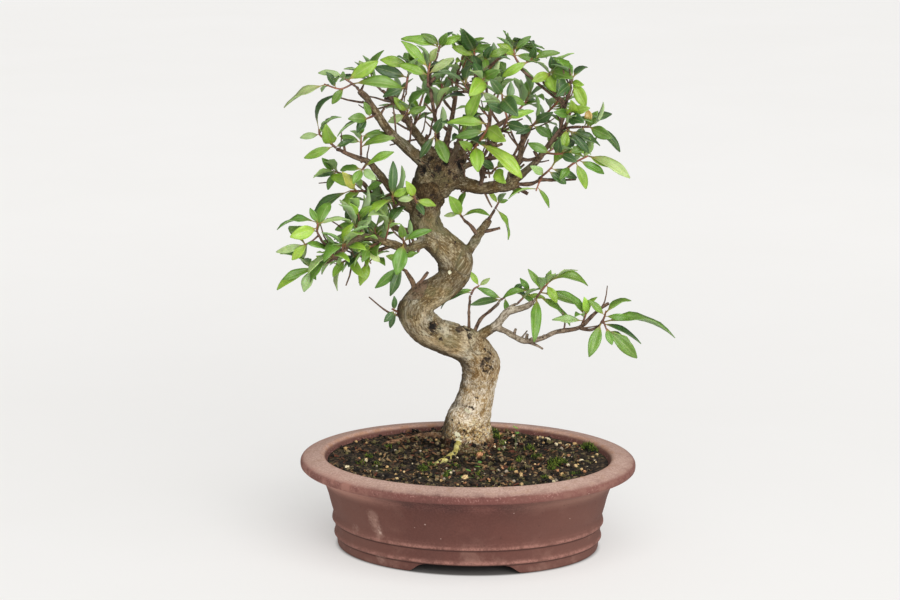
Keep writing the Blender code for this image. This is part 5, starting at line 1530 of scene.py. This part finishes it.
def carve(piece, flat, girth):
    places = places_of(piece.data)
    normals = np.empty(len(places) * 3)
    piece.data.vertices.foreach_get("normal", normals)
    normals = normals.reshape(-1, 3)
    marks = [(seen_on(piece, *row[:2]), *row[2:]) for row in (*WOUNDS, *scar_marks())]
    rise = np.array([bark_rise(*row) for row in zip(flat / MM, places / MM)])
    write_attribute(piece.data, "relief", rise)
    # Undersides and faces turned to the left: a mask for painted shade
    turned_away = np.maximum(-0.38 - normals[:, 2] - 0.3 * normals[:, 0], -0.5 - normals[:, 0])
    write_attribute(piece.data, "shade", np.clip(turned_away / 0.5, 0, 1))
    rise *= np.clip(girth / (9 * MM), 0.12, 1.0) * MM
    ragged = np.array([1 + 0.3 * noise.noise(place / (2.4 * MM)) for place in map(Vector, places)])
    wound = np.zeros(len(places))
    for middle, reach, sink, dark in marks:
        away = np.linalg.norm(places - np.array(middle), axis=1) / (reach * UNIT) * ragged
        inside = np.exp(-away ** 4)
        rise += (-sink * inside + 0.3 * sink * np.exp(-((away - 1.5) / 0.4) ** 2)) * UNIT
        wound += (dark - wound) * inside
    move_to(piece.data, places + normals * rise[:, None])
    write_attribute(piece.data, "wound", wound)


carve(wood, flat, girth)
smooth(wood)
print("wounds:", len(WOUNDS))

# %% Thin limbs, twigs and the pale root
thin_wood = round_bars("thin_wood", thin, 3)
straightened(thin_wood, route_samples(thin))
pale_root = round_bars("pale_root", [roots[0]], 4)
straightened(pale_root, route_samples([roots[0]]))
smooth(thin_wood, pale_root)
print("thin wood:", len(thin_wood.data.polygons), "faces")

# %% [markdown]
# Pomegranate bark is smooth and blotched: cream, tan and brown patches with dark flecks, drawn out
# a little along the wood. It is palest and knobbly at the foot, olive brown and darker toward the
# crown, and red brown on thin twigs; undersides and left flanks are darkened by painted shade. The
# pattern follows `grain`.

# %% Bark
ROOT_RIPENS = ((428, 468, 0), (446, 460, 0))  # where the young root is brown, and where yellow


def stretched(finish, vector, lengthwise):
    """The straightened place, drawn out along the wood."""
    return add(finish.tree, "Mapping", Vector=vector, Scale=(1 / lengthwise, 1, 1))


def wobbled(finish, scale, reach):
    """The place, moved a little by a noise."""
    made = add(finish.tree, "VectorMath", {"operation": "MULTIPLY_ADD"})
    feed(finish.tree, made.inputs[0], finish.noise(scale).outputs["Color"])
    made.inputs[1].default_value = (reach, reach, reach)
    feed(finish.tree, made.inputs[2], finish.place)
    return made


def bark_finish(name, fresh=False):
    bark = Finish(name, 0.88, 0.3)
    bark.split_place()
    fade, high, times, mix = bark.fade, bark.high, bark.times, bark.mix
    grain, girth, relief = bark.read("grain", "Vector"), bark.read("girth"), bark.read("relief")
    seam = bark.plus(bark.height, fade(bark.noise(220.0, 3.0), 0.3, 0.7, -5 * MM, 5 * MM))
    grain = mix(maths(bark.tree, "LESS_THAN", seam, KNOBS_TOP * MM), grain, bark.place)
    blotches = bark.noise(150.0, 8.0, stretched(bark, grain, 1.6), Roughness=0.68, Distortion=0.6)
    patchy = bark.noise(80.0, 6.0, stretched(bark, grain, 1.5), Roughness=0.6)
    spots = bark.noise(500.0, 5.0, stretched(bark, grain, 1.25), Roughness=0.65)
    flecks = bark.noise(1250.0, 3.0, stretched(bark, grain, 1.6))
    bark.colour = ramp(bark.tree, blotches, (0.37, (158, 127, 80)), (0.44, (190, 163, 120)),
                       (0.50, (210, 191, 159)), (0.56, (226, 210, 187)), (0.64, (242, 232, 208)))
    bark.lay_all(high(105, 145, 1.0, 0.85),
                 (spots, 0.39, 0.45, 0.65, 0.0, (116, 88, 52)),
                 (flecks, 0.40, 0.47, 0.75, 0.0, (132, 106, 70)),
                 (flecks, 0.56, 0.62, 0.0, 0.6, (252, 245, 230)))
    # Carved hollows are darkened: painted shade
    bark.lay(fade(relief, -0.8, -0.2, 0.6, 0.0), (116, 91, 56))
    # The knobbly foot: golden knobs, with painted shade in the folds between them
    foot = high(64, 76, 1.0, 0.0)
    bark.lay(times(foot, fade(relief, -0.4, 0.2, 0.0, 0.85)),
             mix(fade(spots, 0.44, 0.60), (178, 139, 76), (246, 234, 186)))
    bark.lay(times(foot, fade(relief, -1.1, -0.45, 0.9, 0.0)), (66, 49, 30))
    fold_shade = add(bark.tree, "TexVoronoi", {"feature": "DISTANCE_TO_EDGE"},
                Vector=wobbled(bark, 420.0, 2.4 * MM), Scale=400.0)
    bark.lay(times(fade(fold_shade, 0.03, 0.18, 0.92, 0.0), foot, fade(blotches, 0.4, 0.55, 1.0, 0.35)),
             (68, 48, 26))
    # Older bark higher up, with large patches in the lower bends
    aged = high(92, 138)
    bark.dim(aged, (164, 161, 144))
    bark.lay_all(times(aged, high(125, 165, 1.0, 0.2)),
                 (patchy, 0.40, 0.50, 0.8, 0.0, (98, 75, 50)),
                 (patchy, 0.53, 0.61, 0.0, 0.6, (210, 192, 160)))
    bark.lay_all(aged,
                 (blotches, 0.41, 0.47, 0.62, 0.0, (96, 82, 56)),
                 (blotches, 0.54, 0.60, 0.0, 0.62, (198, 187, 158)),
                 (spots, 0.40, 0.47, 0.65, 0.0, (80, 67, 45)),
                 (flecks, 0.57, 0.63, 0.0, 0.5, (192, 178, 142)))
    # Ashen, golden and mossy clouds, and a darker crown
    bark.dim(times(bark.patches(46.0, 0.5, 0.12), high(125, 140, 0.0, 0.8)), (218, 226, 246))
    bark.dim(times(bark.patches(75.0, 0.45, 0.12), high(90, 108, 0.15, 0.5)), (226, 196, 140))
    bark.lay(times(bark.patches(60.0, 0.36, 0.1), high(100, 145, 0.05, 0.6)), (98, 98, 66))
    bark.dim(times(high(196, 214), fade(girth, 4 * MM, 8 * MM, 0.4, 1.0)), (166, 152, 134))
    # Twigs, the silvery low limb and the brown surface roots
    bark.lay(fade(girth, 1.1 * MM, 2.6 * MM, 0.85, 0.0),
             mix(fade(spots, 0.4, 0.6), (66, 46, 38), (122, 94, 78)))
    silver = times(fade(bark.width, 5 * MM, 9 * MM), high(116, 121, 0.0, 0.85),
                   high(172, 180, 1.0, 0.0), fade(bark.width, 42 * MM, 54 * MM, 1.0, 0.0),
                   fade(girth, 1.6 * MM, 2.6 * MM, 0.4, 1.0))
    bark.lay(silver, mix(fade(spots, 0.42, 0.56), (140, 127, 108), (204, 193, 174)))
    bark.lay(times(high(58, 62, 1.0, 0.0), fade(girth, 3.4 * MM, 4.2 * MM, 1.0, 0.0), 0.85),
             mix(fade(spots, 0.42, 0.58), (82, 52, 36), (150, 108, 76)))
    # Painted shade on undersides and left flanks, dark wounds with painted shade in holes, pale
    # cuts
    under = bark.plus(bark.read("shade"), fade(spots, 0.35, 0.65, -0.25, 0.25))
    bark.lay(fade(under, 0.15, 0.95, 0.0, 0.85), (56, 44, 28))
    wound, torn = bark.read("wound"), fade(spots, 0.35, 0.65, -0.3, 0.3)
    bark.lay(fade(bark.plus(torn, wound), 0.35, 0.55, 0.0, 0.93),
             mix(fade(flecks, 0.55, 0.65), (34, 27, 22), (120, 92, 66)))
    # Black in the deepest holes: painted shade
    bark.lay(fade(wound, 0.8, 0.95, 0.0, 0.9), (18, 14, 11))
    bark.lay(fade(maths(bark.tree, "SUBTRACT", wound, torn), -0.7, -0.4, 0.8, 0.0),
             (246, 242, 208))
    if fresh:
        left, right = (spot(*place).x for place in ROOT_RIPENS)
        ripe = times(fade(bark.width, left, right, 0.15, 1.0), fade(spots, 0.32, 0.52, 0.55, 1.0))
        yellow = mix(fade(blotches, 0.42, 0.58), (186, 172, 88), (222, 216, 142))
        bark.lay(0.88, mix(ripe, (70, 58, 30), yellow))
    tooth = bark.tooth(1500.0, stretched(bark, grain, 2.6))
    return bark.done(bark.plus(times(spots, 1.5), blotches, times(bark.plus(tooth, flecks), 0.5)),
                     0.6 * MM)


bark = bark_finish("bark_grey")
print("old wood:", settle(wood, bark, "bark", "trunk"), "triangles")
print("thin wood:", settle(thin_wood, bark, "bark", "trunk"), "triangles")
young_bark = bark_finish("bark_young", True)
print("pale root:", settle(pale_root, young_bark, "bark", "trunk"), "triangles")

# %% [markdown]
# ## The leaves
#
# A pomegranate leaf is a narrow glossy blade, two to four centimetres long, blunt at the tip and
# drawn out into a short reddish stalk, with a pale midrib and a paler back. One blade is modelled
# from a grid: each row across is resized to the leaf's outline, and Solidify makes it a thin
# closed sheet. Every leaf is then a copy of its corners, bent along its own arc.

# %% One blade
BLADE_START = 0.12  # share of the length that is stalk
STALK_SHARE = 0.10  # of the widest half width
BLADE_THICK = 0.34 * MM


def half_outline(share):
    """The blade's half width, 1 at its widest."""
    if share <= BLADE_START:
        return STALK_SHARE
    t = (share - BLADE_START) / (1 - BLADE_START)
    return max(STALK_SHARE, math.sin(math.pi * min(t, 1) ** 0.98) ** 0.74)


def blade_shape(rows, columns):
    """Corners as (along 0..1, across -1..1, 0 above or 1 below) and the faces of one blade."""
    bpy.ops.object.select_all(action="DESELECT")
    bpy.ops.mesh.primitive_grid_add(x_subdivisions=rows, y_subdivisions=columns, size=1,
                                    location=(0.5, 0, 0))
    blade = bpy.context.object
    bpy.ops.object.transform_apply(location=True, rotation=False, scale=False)
    bpy.ops.object.mode_set(mode="EDIT")
    for row in range(rows + 1):
        share = row / rows
        bpy.ops.mesh.select_all(action="DESELECT")
        bpy.ops.object.mode_set(mode="OBJECT")
        for corner in blade.data.vertices:
            corner.select = abs(corner.co.x - share) < 1e-4
        bpy.ops.object.mode_set(mode="EDIT")
        bpy.ops.transform.resize(value=(1, 2 * half_outline(share), 1),
                                 center_override=(share, 0, 0))
    bpy.ops.object.mode_set(mode="OBJECT")
    sheet = blade.modifiers.new("sheet", "SOLIDIFY")
    sheet.thickness = 1.0
    sheet.offset = 0
    apply_all(blade)
    corners = places_of(blade.data)
    faces = [face.vertices[:] for face in blade.data.polygons]
    bpy.data.objects.remove(blade)
    return corners, np.array(faces)


LARGE_BLADE, SMALL_BLADE = blade_shape(9, 4), blade_shape(7, 2)
print("blades:", len(LARGE_BLADE[1]), "and", len(SMALL_BLADE[1]), "faces")

# %% [markdown]
# The drawn leaves are given by root and tip in the front view. A short wide one points toward the
# viewer, so its true length is guessed from its width. Each was shifted in depth until it had
# room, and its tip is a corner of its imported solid, so the same tries are made here and the one
# whose tip is such a corner is taken. The leaves that grow by rule are found in the same way.

# %% Where each leaf grows
LEAF_LEAST_RATIO = 2.5
LEAF_USUAL_RATIO = 0.26
LEAF_BOW = 0.09
SHIFTS = (0, -3, 3, -6, 6, -9, 9, -12, 12, -16, 16, -20, 20)
RULED_SHARE = 0.3
RULED_TRIES, RULED_TURNS = 24, 8


class Leaf:
    """One blade: root, tip, the way its upper side faces, its width and its bow."""

    def __init__(self, root, tip, face, width, bow, drawn_tip=None):
        self.root, self.tip, self.face = root, tip, face
        self.width, self.bow, self.drawn_tip = width, bow, drawn_tip


def nearest_on(stems, across, down):
    """The point of the stems that the front view shows nearest to (across, down)."""
    best = None
    for stem in stems:
        for a, b in zip(stem, stem[1:]):
            for step in range(9):
                place = [p + (q - p) * step / 8 for p, q in zip(a, b)]
                away = math.hypot(place[0] - across, place[1] - down)
                if best is None or away < best[0]:
                    best = (away, place)
    return best[1]


def drawn_leaf(stems, drawn, shift):
    """A leaf of the front view, shifted in depth."""
    across, down, tip_across, tip_down, wide, *bend = drawn
    place = nearest_on(stems, across, down)
    root = spot(*place)
    seen = math.hypot(tip_across - place[0], tip_down - place[1])
    width = max(wide, LEAF_USUAL_RATIO * seen) * UNIT
    length = max(seen * UNIT, LEAF_LEAST_RATIO * width)
    forth = math.sqrt(max(length ** 2 - (seen * UNIT) ** 2, 0)) / MM
    side = -1 if place[2] < 20 else 1
    tip = spot(tip_across, tip_down, place[2] + side * forth * 0.8 + shift)
    tilt = math.acos(min(1, wide * UNIT / width))
    heading = (tip - root).normalized()
    front = (TOWARD_VIEWER - heading * TOWARD_VIEWER.dot(heading)).normalized()
    upward = Vector((0, 0, 1)) - heading * heading.z
    upward = upward.normalized() if upward.length > 0.2 else front
    face = front * math.cos(tilt) + upward * max(math.sin(tilt), 0.25)
    return Leaf(root, tip, face.normalized(), width, bend[0] if bend else LEAF_BOW,
                (tip_across, tip_down))


def ruled_leaf(stems, rng, index, turn, shrink):
    """A leaf of an opposite pair, the pairs set crosswise along the stems."""
    stem = stems[index % len(stems)]
    share = rng.uniform(0.25, 1.0)
    place = share * (len(stem) - 1)
    step = min(int(place), len(stem) - 2)
    root = stem[step].lerp(stem[step + 1], place - step)
    tangent = (stem[step + 1] - stem[step]).normalized()
    across = tangent.orthogonal().normalized()
    angle = index * math.pi + (index // 2) * math.pi / 2 + rng.uniform(-0.4, 0.4) + turn
    radial = across * math.cos(angle) + tangent.cross(across) * math.sin(angle)
    lean = math.radians(rng.uniform(35, 75))
    heading = tangent * math.cos(lean) + radial * math.sin(lean)
    heading = (heading + Vector((0, 0, rng.uniform(-0.25, 0.35)))).normalized()
    length = rng.uniform(13 * MM, 21 * MM) * shrink
    face = (Vector((0, 0, 1)) + radial * 0.4 + tangent * 0.6).normalized()
    if abs(face.dot(heading)) > 0.9:
        face = heading.orthogonal().normalized()
    return Leaf(root, root + heading * length, face, length * rng.uniform(0.28, 0.40), LEAF_BOW)


def ruled_tries(stems, seed, index):
    """The same leaf turned and shrunk step by step, as long as the foliage's ovals hold it."""
    for attempt in range(RULED_TRIES):
        rng = random.Random(f"{seed} {index} {attempt // RULED_TURNS}")
        turn = attempt % RULED_TURNS * math.tau / RULED_TURNS
        leaf = ruled_leaf(stems, rng, index, turn, 1 - 0.015 * attempt)
        if is_in_foliage(leaf.tip):
            yield leaf


# %% Find the leaves of the solids and add the smaller ones
EXTRA_SHARE = 0.92
# Left, right, top and bottom of a place in the front view, and the share of leaves missing there
AIRY = (320, 430, 55, 175, 0.5)
ROOM = 1.9 * MM
TIP_GAP = 0.03 * MM
# An amber leaf of the front view: its shoot's foot, its root and its tip
AMBER_FOOT, AMBER_ROOT, AMBER_TIP = (564, 127), (587, 108, -41), (590, 122, -42)
AMBER_SPRAY = next(i for i, spray in enumerate(SPRAYS, 1) if spray[0][0][0][:2] == AMBER_FOOT)


def corner_tree(solid):
    corners = frame["nodes"][solid].data.vertices
    tree = KDTree(len(corners))
    for index, corner in enumerate(corners):
        tree.insert(corner.co, index)
    tree.balance()
    return tree


def grown(stems):
    """The drawn stems as places."""
    return [[spot(*place) for place in stem] for stem in stems]


def solid_leaves(number, spray):
    """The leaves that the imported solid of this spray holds."""
    stems, drawn_leaves, more = spray
    corners = corner_tree(f"spray_{number:02d}")
    tries = [[drawn_leaf(stems, drawn, shift) for shift in SHIFTS] for drawn in drawn_leaves]
    tries += [ruled_tries(grown(stems), SEED + number, i)
              for i in range(math.ceil(more * RULED_SHARE))]
    found = []
    for row in tries:
        match = next((leaf for leaf in row if corners.find(leaf.tip)[2] < TIP_GAP), None)
        if match:
            found.append(match)
    return found


def leaf_points(leaf):
    return [leaf.root.lerp(leaf.tip, share) for share in (0.45, 0.7, 0.95)]


def first_with_room(tries, taken):
    """The first leaf of the tries that has room round its middle and its tip, if any has."""
    for leaf in tries:
        points = np.array(leaf_points(leaf))
        gaps = np.linalg.norm(np.array(taken)[:, None] - points[None], axis=2)
        if gaps.min() > ROOM:
            taken.extend(leaf_points(leaf))
            return [leaf]
    return []


def extra_leaves(number, spray, taken):
    """More leaves of a spray by the same rule, fewer where the crown is airy."""
    stems, _, more = spray
    left, right, top, bottom, missing = AIRY
    rng = random.Random(f"{SEED} airy {number}")
    found = []
    for index in range(math.ceil(more * RULED_SHARE), math.ceil(more * EXTRA_SHARE)):
        for leaf in first_with_room(ruled_tries(grown(stems), SEED + number, index), taken):
            across, down = drawing_point(leaf.tip)
            airy = left < across < right and top < down < bottom
            if not airy or rng.random() > missing:
                found.append(leaf)
    return found


leaves_of = {number: solid_leaves(number, spray) for number, spray in enumerate(SPRAYS, 1)}
in_solids = sum(len(leaves) for leaves in leaves_of.values())
taken = [point for leaves in leaves_of.values() for leaf in leaves for point in leaf_points(leaf)]
for number, spray in enumerate(SPRAYS, 1):
    leaves_of[number] += extra_leaves(number, spray, taken)
leaves_of[AMBER_SPRAY].append(Leaf(spot(*AMBER_ROOT), spot(*AMBER_TIP), TOWARD_VIEWER, 7.5 * UNIT,
                                   LEAF_BOW, AMBER_TIP[:2]))
print(in_solids, "leaves found in the solids,", sum(map(len, leaves_of.values())), "with more")

# %% [markdown]
# Short spurs with a few leaves fill the two places where the shoots leave the foliage too thin.
# Each grows from a limb where leaves are still few, and it counts as part of the nearest shoot.

# %% Spurs along the limbs
# Left, right, top and bottom of a place in the front view, and how many spurs it takes
THIN_PLACES = ((420, 505, 50, 150, 9), (288, 415, 200, 282, 17))
SPUR_TRIES = 400
CROWDED, CROWD = 9 * MM, 9


def spur_stem(rng, carriers):
    """A short twig that leaves a limb at an angle and turns upward."""
    points = rng.choice(carriers)
    step = rng.randrange(len(points) // 4, len(points) - 1)
    foot = points[step].lerp(points[step + 1], rng.random())
    along = (points[step + 1] - points[step]).normalized()
    side = along.orthogonal().normalized()
    side.rotate(Matrix.Rotation(rng.uniform(0, math.tau), 3, along))
    heading = (along * rng.uniform(0.1, 0.8) + side + Vector((0, 0, 0.45))).normalized()
    length = rng.uniform(7, 15) * MM
    middle = foot + heading * length * 0.5
    return [foot, middle, middle + (heading + Vector((0, 0, 0.4))).normalized() * length * 0.5]


limb_points = [[spot(*station) for station in smoothed(LIMBS[name][2:], 3)]
               for name in LEAFY_LIMBS[:-1]]
spurs_of = {number: [] for number in leaves_of}
shoot_feet = [spot(*stems[0][0]) for stems, _, _ in SPRAYS]
rng = random.Random(SEED + 2)
for left, right, top, bottom, wanted in THIN_PLACES:
    for attempt in range(SPUR_TRIES):
        stem = spur_stem(rng, limb_points)
        across, down = drawing_point(stem[2])
        near = np.linalg.norm(np.array(taken) - np.array(stem[2]), axis=1) < CROWDED
        if not (left < across < right and top < down < bottom and wanted) or near.sum() > CROWD:
            continue
        leaves = []
        for index in range(rng.randint(4, 7)):
            leaves += first_with_room(ruled_tries([stem], 1000 + attempt, index), taken)
        if len(leaves) > 2:
            nearest = min(leaves_of, key=lambda number: (shoot_feet[number - 1] - stem[0]).length)
            leaves_of[nearest] += leaves
            spurs_of[nearest].append(stem)
            wanted -= 1
spurs, all_leaves = [sum(map(len, held.values())) for held in (spurs_of, leaves_of)]
print(spurs, "spurs,", all_leaves, "leaves in all")

# %% [markdown]
# Leaves differ in tone: young ones are yellow green, old ones deep green, and some show their pale
# backs. The bright and the dark tones are partly painted light and painted shade as well, for
# leaves that lie in light and in shade. Those that stand out in the front view are named by their
# tips, and the others draw a tone.

# %% Tones of the leaves
# The bright and dark tones are partly painted light and painted shade, for lit and shaded leaves
LEAF_TONES = {
    "mid": (97, 131, 46), "bright": (132, 165, 54), "dark": (60, 90, 41),
    "pale": (150, 170, 110), "yellow": (186, 192, 92), "amber": (204, 164, 100),
}
STEM_TONE = (88, 62, 50)
YOUNG_STEM_TONE = (152, 90, 68)
STALK_TONE = (150, 128, 70)
TIP_REACH = 6  # drawing units within which a leaf's tip is a named one
LOW_LEAVES = 238 * MM  # below this height more leaves are pale or bright
TONED_TIPS = {
    "mid": ((534, 342), (584, 306), (637, 358), (589, 357), (630, 318), (316, 280), (401, 224),
            (396, 275), (375, 288)),
    "bright": ((333, 277), (292, 260), (290, 233), (277, 289), (364, 278), (406, 184), (305, 157),
               (378, 62), (398, 65), (401, 41), (470, 95), (470, 122), (478, 172), (522, 178),
               (564, 150), (585, 188), (449, 196)),
    "dark": ((394, 296), (384, 322), (390, 328), (390, 296), (470, 304), (441, 308), (312, 217),
             (300, 235), (353, 228), (393, 162), (341, 94), (375, 67), (401, 40), (518, 115),
             (589, 152), (420, 157)),
    "pale": ((305, 291), (284, 108), (452, 58)),
    "yellow": ((342, 172), (571, 110), (363, 178), (540, 293)),
    "amber": ((590, 122),),
}


def linear(levels):
    """A tone as an array of three linear numbers."""
    return np.array(tone(*levels)[:3])


def opaque(colours):
    """Rows of three linear numbers, with a full fourth one added."""
    return np.hstack([colours, np.ones((len(colours), 1))])


def tone_of(leaf, rng):
    """The tone named for the leaf's drawn tip, or one by chance, with a little of its own."""
    named = None
    if leaf.drawn_tip:
        for name, tips in TONED_TIPS.items():
            if any(math.dist(leaf.drawn_tip, tip) < TIP_REACH for tip in tips):
                named = named or name
    low = leaf.tip.z < LOW_LEAVES
    shares = (48, 27, 10, 15) if low else (43, 20, 29, 8)
    named = named or rng.choices(("mid", "bright", "dark", "pale"), shares)[0]
    base = linear(LEAF_TONES[named]) * rng.uniform(0.85, 1.15) * (1.12 if low else 0.97)
    base *= np.array([rng.uniform(0.9, 1.12), 1.0, rng.uniform(0.85, 1.1)])
    return base


# %% Bend the blade along each leaf
LEAF_FOLD = math.radians(27)


def bent_blade(leaf, corners, rng):
    """The blade's corners, laid along one leaf's arc."""
    share, across, under = corners.T
    along = np.array(leaf.tip - leaf.root)
    length = np.linalg.norm(along)
    heading = Vector(along).normalized()
    side = heading.cross(leaf.face).normalized()
    normal = side.cross(heading)
    share = share[:, None]
    middle = np.array(leaf.root) + along * share
    bow = leaf.bow * rng.uniform(0.6, 1.5)
    middle = middle + np.array(normal) * (bow * length * 4 * share * (1 - share))
    twist = rng.uniform(-0.9, 0.9) * (share - 0.2)
    sideways = np.array(side) * np.cos(twist) + np.array(normal) * np.sin(twist)
    upright = np.array(normal) * np.cos(twist) - np.array(side) * np.sin(twist)
    half = leaf.width / 2 * across[:, None]
    wave = np.sin(share * rng.uniform(7, 12) + rng.uniform(0, 6)) * rng.uniform(0.05, 0.35)
    lift = np.abs(half) * (math.sin(LEAF_FOLD) + wave * np.sign(half))
    thick = -np.sign(under)[:, None] * BLADE_THICK / 2
    return middle + sideways * half + upright * (lift - thick)


def spray_mesh(number, leaves):
    """All leaves of one spray as one piece, with its tints and its places on the blade."""
    rng = random.Random(f"{SEED} tones {number}")
    corners, faces, tints, blades, unders = [], [], [], [], []
    first = 0
    for leaf in leaves:
        blade_corners, blade_faces = LARGE_BLADE if leaf.drawn_tip else SMALL_BLADE
        corners.append(bent_blade(leaf, blade_corners, rng))
        faces.append(blade_faces + first)
        first += len(blade_corners)
        share, across, under = blade_corners.T
        reach = np.clip((share - BLADE_START) / 0.12, 0, 1)[:, None]
        tints.append(opaque(linear(STALK_TONE) * (1 - reach) + tone_of(leaf, rng) * reach))
        widest = np.array([half_outline(s) for s in share])
        blades.append(np.stack([across / widest, share, np.clip(reach[:, 0], 0, 1)], axis=1))
        unders.append(under < 0)
    return new_piece(f"leaves_{number:02d}", corners, np.concatenate(faces), tint=tints,
                     blade=blades, under=unders)


def green_stems(number, stems):
    """The shoot, its side stem and its spurs, with the tint of young wood toward the tip."""
    routes = []
    for i, points in enumerate(stems):
        start = SHOOT_HALF * UNIT * (1 if i == 0 else 0.8)
        radii = [start * (1 - 0.3 * k / (len(points) - 1)) for k in range(len(points))]
        routes.append(fine_route(points, radii, 4, 0.12, number))
    piece = round_bars(f"stem_{number:02d}", routes, 2)
    places = places_of(piece.data)
    feet = np.array([route[0][0] for route in routes])
    reach = np.linalg.norm(places[:, None] - feet[None], axis=2).min(axis=1)
    share = np.clip(reach / (10 * MM), 0, 1)[:, None]
    colours = linear(STEM_TONE) * (1 - share) + linear(YOUNG_STEM_TONE) * share
    write_attribute(piece.data, "tint", opaque(colours))
    return piece


# %% [markdown]
# The leaf finish reads the tint of each copy and the place on the blade. The midrib and the side
# veins are drawn from that place, the back is paler and duller, and the upper side has the soft
# gloss of a waxy leaf.

# %% Leaf finish
def leaf_finish():
    leaf = Finish("pomegranate_leaf", 0.36)
    fade, times, plus = leaf.fade, leaf.times, leaf.plus
    leaf.colour, under = leaf.read("tint", "Color"), leaf.read("under")
    sideways, along, blade = add(leaf.tree, "SeparateXYZ",
                                 Vector=leaf.read("blade", "Vector")).outputs
    across = maths(leaf.tree, "ABSOLUTE", sideways)
    rib = fade(across, 0.02, 0.13, 1.0, 0.0)
    slant = maths(leaf.tree, "SUBTRACT", times(along, 11.0), times(across, 1.3))
    veins = fade(maths(leaf.tree, "PINGPONG", slant, 0.5), 0.0, 0.10, 1.0, 0.0)
    cloud = leaf.noise(220.0, 4.0)
    leaf.dim(fade(cloud, 0.35, 0.7, 0.0, 0.45), (176, 190, 150))
    light = leaf.mix(0.35, leaf.colour, (196, 206, 140))
    leaf.lay(times(rib, 0.5, blade), light)
    leaf.lay(times(veins, 0.14, blade), light)
    leaf.lay(under, leaf.mix(0.5, leaf.colour, (150, 172, 128)))
    leaf.give("Roughness", plus(fade(cloud, 0.3, 0.7, 0.30, 0.44), times(under, 0.25)))
    leaf.give("Subsurface Weight", 0.2)
    leaf.give("Subsurface Radius", (0.4, 0.8, 0.15))
    leaf.give("Subsurface Scale", 1.5 * MM)
    relief = plus(times(rib, -1.0), times(veins, -0.4), times(cloud, 0.5))
    return leaf.done(times(relief, blade), 0.12 * MM, 0.7)


leaf_material = leaf_finish()
leaf_total = 0
for number, spray in enumerate(SPRAYS, 1):
    leaves = spray_mesh(number, leaves_of[number])
    stems = green_stems(number, grown(spray[0]) + spurs_of[number])
    shoot = joined(f"leafy_shoot_{number:02d}", [leaves, stems])
    smooth(shoot)
    leaf_total += settle(shoot, leaf_material, "leaf", f"spray_{number:02d}")
print("leafy shoots:", leaf_total, "triangles")

# %% [markdown]
# ## Floor and light
#
# The object stands on a plain pale floor that reaches far behind it. A very soft sun from above
# gives the bright tops and calm sides of a light studio, and a broad lamp in front lifts the
# shadows. The floor glows a little, a painted light like a lit table, except under the pot, so the
# pot's shadow stays faint; under the pot its colour is darker, a painted shadow.

# %% Floor
FLOOR_GLOW, FAR_GLOW = 0.425, 0.49
bpy.ops.object.select_all(action="DESELECT")
bpy.ops.mesh.primitive_plane_add(size=60, location=(0, 0, 0))
floor = bpy.context.object
floor.name = "floor"
ground = Finish("pale_floor", 0.9, 0.2)
outside = ground.fade(oval_share(ground, FOOT_INSET), 0.97, 1.03)
pale_tone = ground.mix(ground.patches(3.0, 0.5, 0.4), (182, 180, 178), (178, 176, 173))
# Under the pot the floor is darker and does not glow: a painted shadow
ground.give("Base Color", ground.mix(outside, (112, 109, 106), pale_tone))
ground.give("Emission Color", tone(252, 251, 249))
glow = ground.fade(ground.length(ground.place), 0.2, 1.2, FLOOR_GLOW, FAR_GLOW)
ground.give("Emission Strength", ground.times(outside, glow))
floor.data.materials.append(ground.material)

# %% Light
bpy.ops.object.light_add(type="SUN", location=(0, 0, 2),
                         rotation=(math.radians(32), math.radians(18), 0))
sun = bpy.context.object
sun.name = "soft_sun"
sun.data.energy = 2.0
sun.data.angle = math.radians(70)

FRONT_PLACE = Vector((0.9, -1.7, 0.6))
aim = Vector((0, 0, 0.15)) - FRONT_PLACE
bpy.ops.object.light_add(type="AREA", location=FRONT_PLACE,
                         rotation=aim.to_track_quat("-Z", "Y").to_euler())
front_lamp = bpy.context.object
front_lamp.name = "front_lamp"
front_lamp.data.size = 1.5
front_lamp.data.energy = 30

world = bpy.data.worlds.new("surrounding")
bpy.context.scene.world = world
world.use_nodes = True
world_tree = world.node_tree
pale = world_tree.nodes["Background"]
pale.inputs["Color"].default_value = (0.97, 0.985, 1, 1)
feed(world_tree, pale.inputs["Strength"],
     between(world_tree, add(world_tree, "LightPath").outputs["Is Camera Ray"], 0, 1, 0.38, 1.04))
bpy.context.scene.view_settings.view_transform = "Standard"
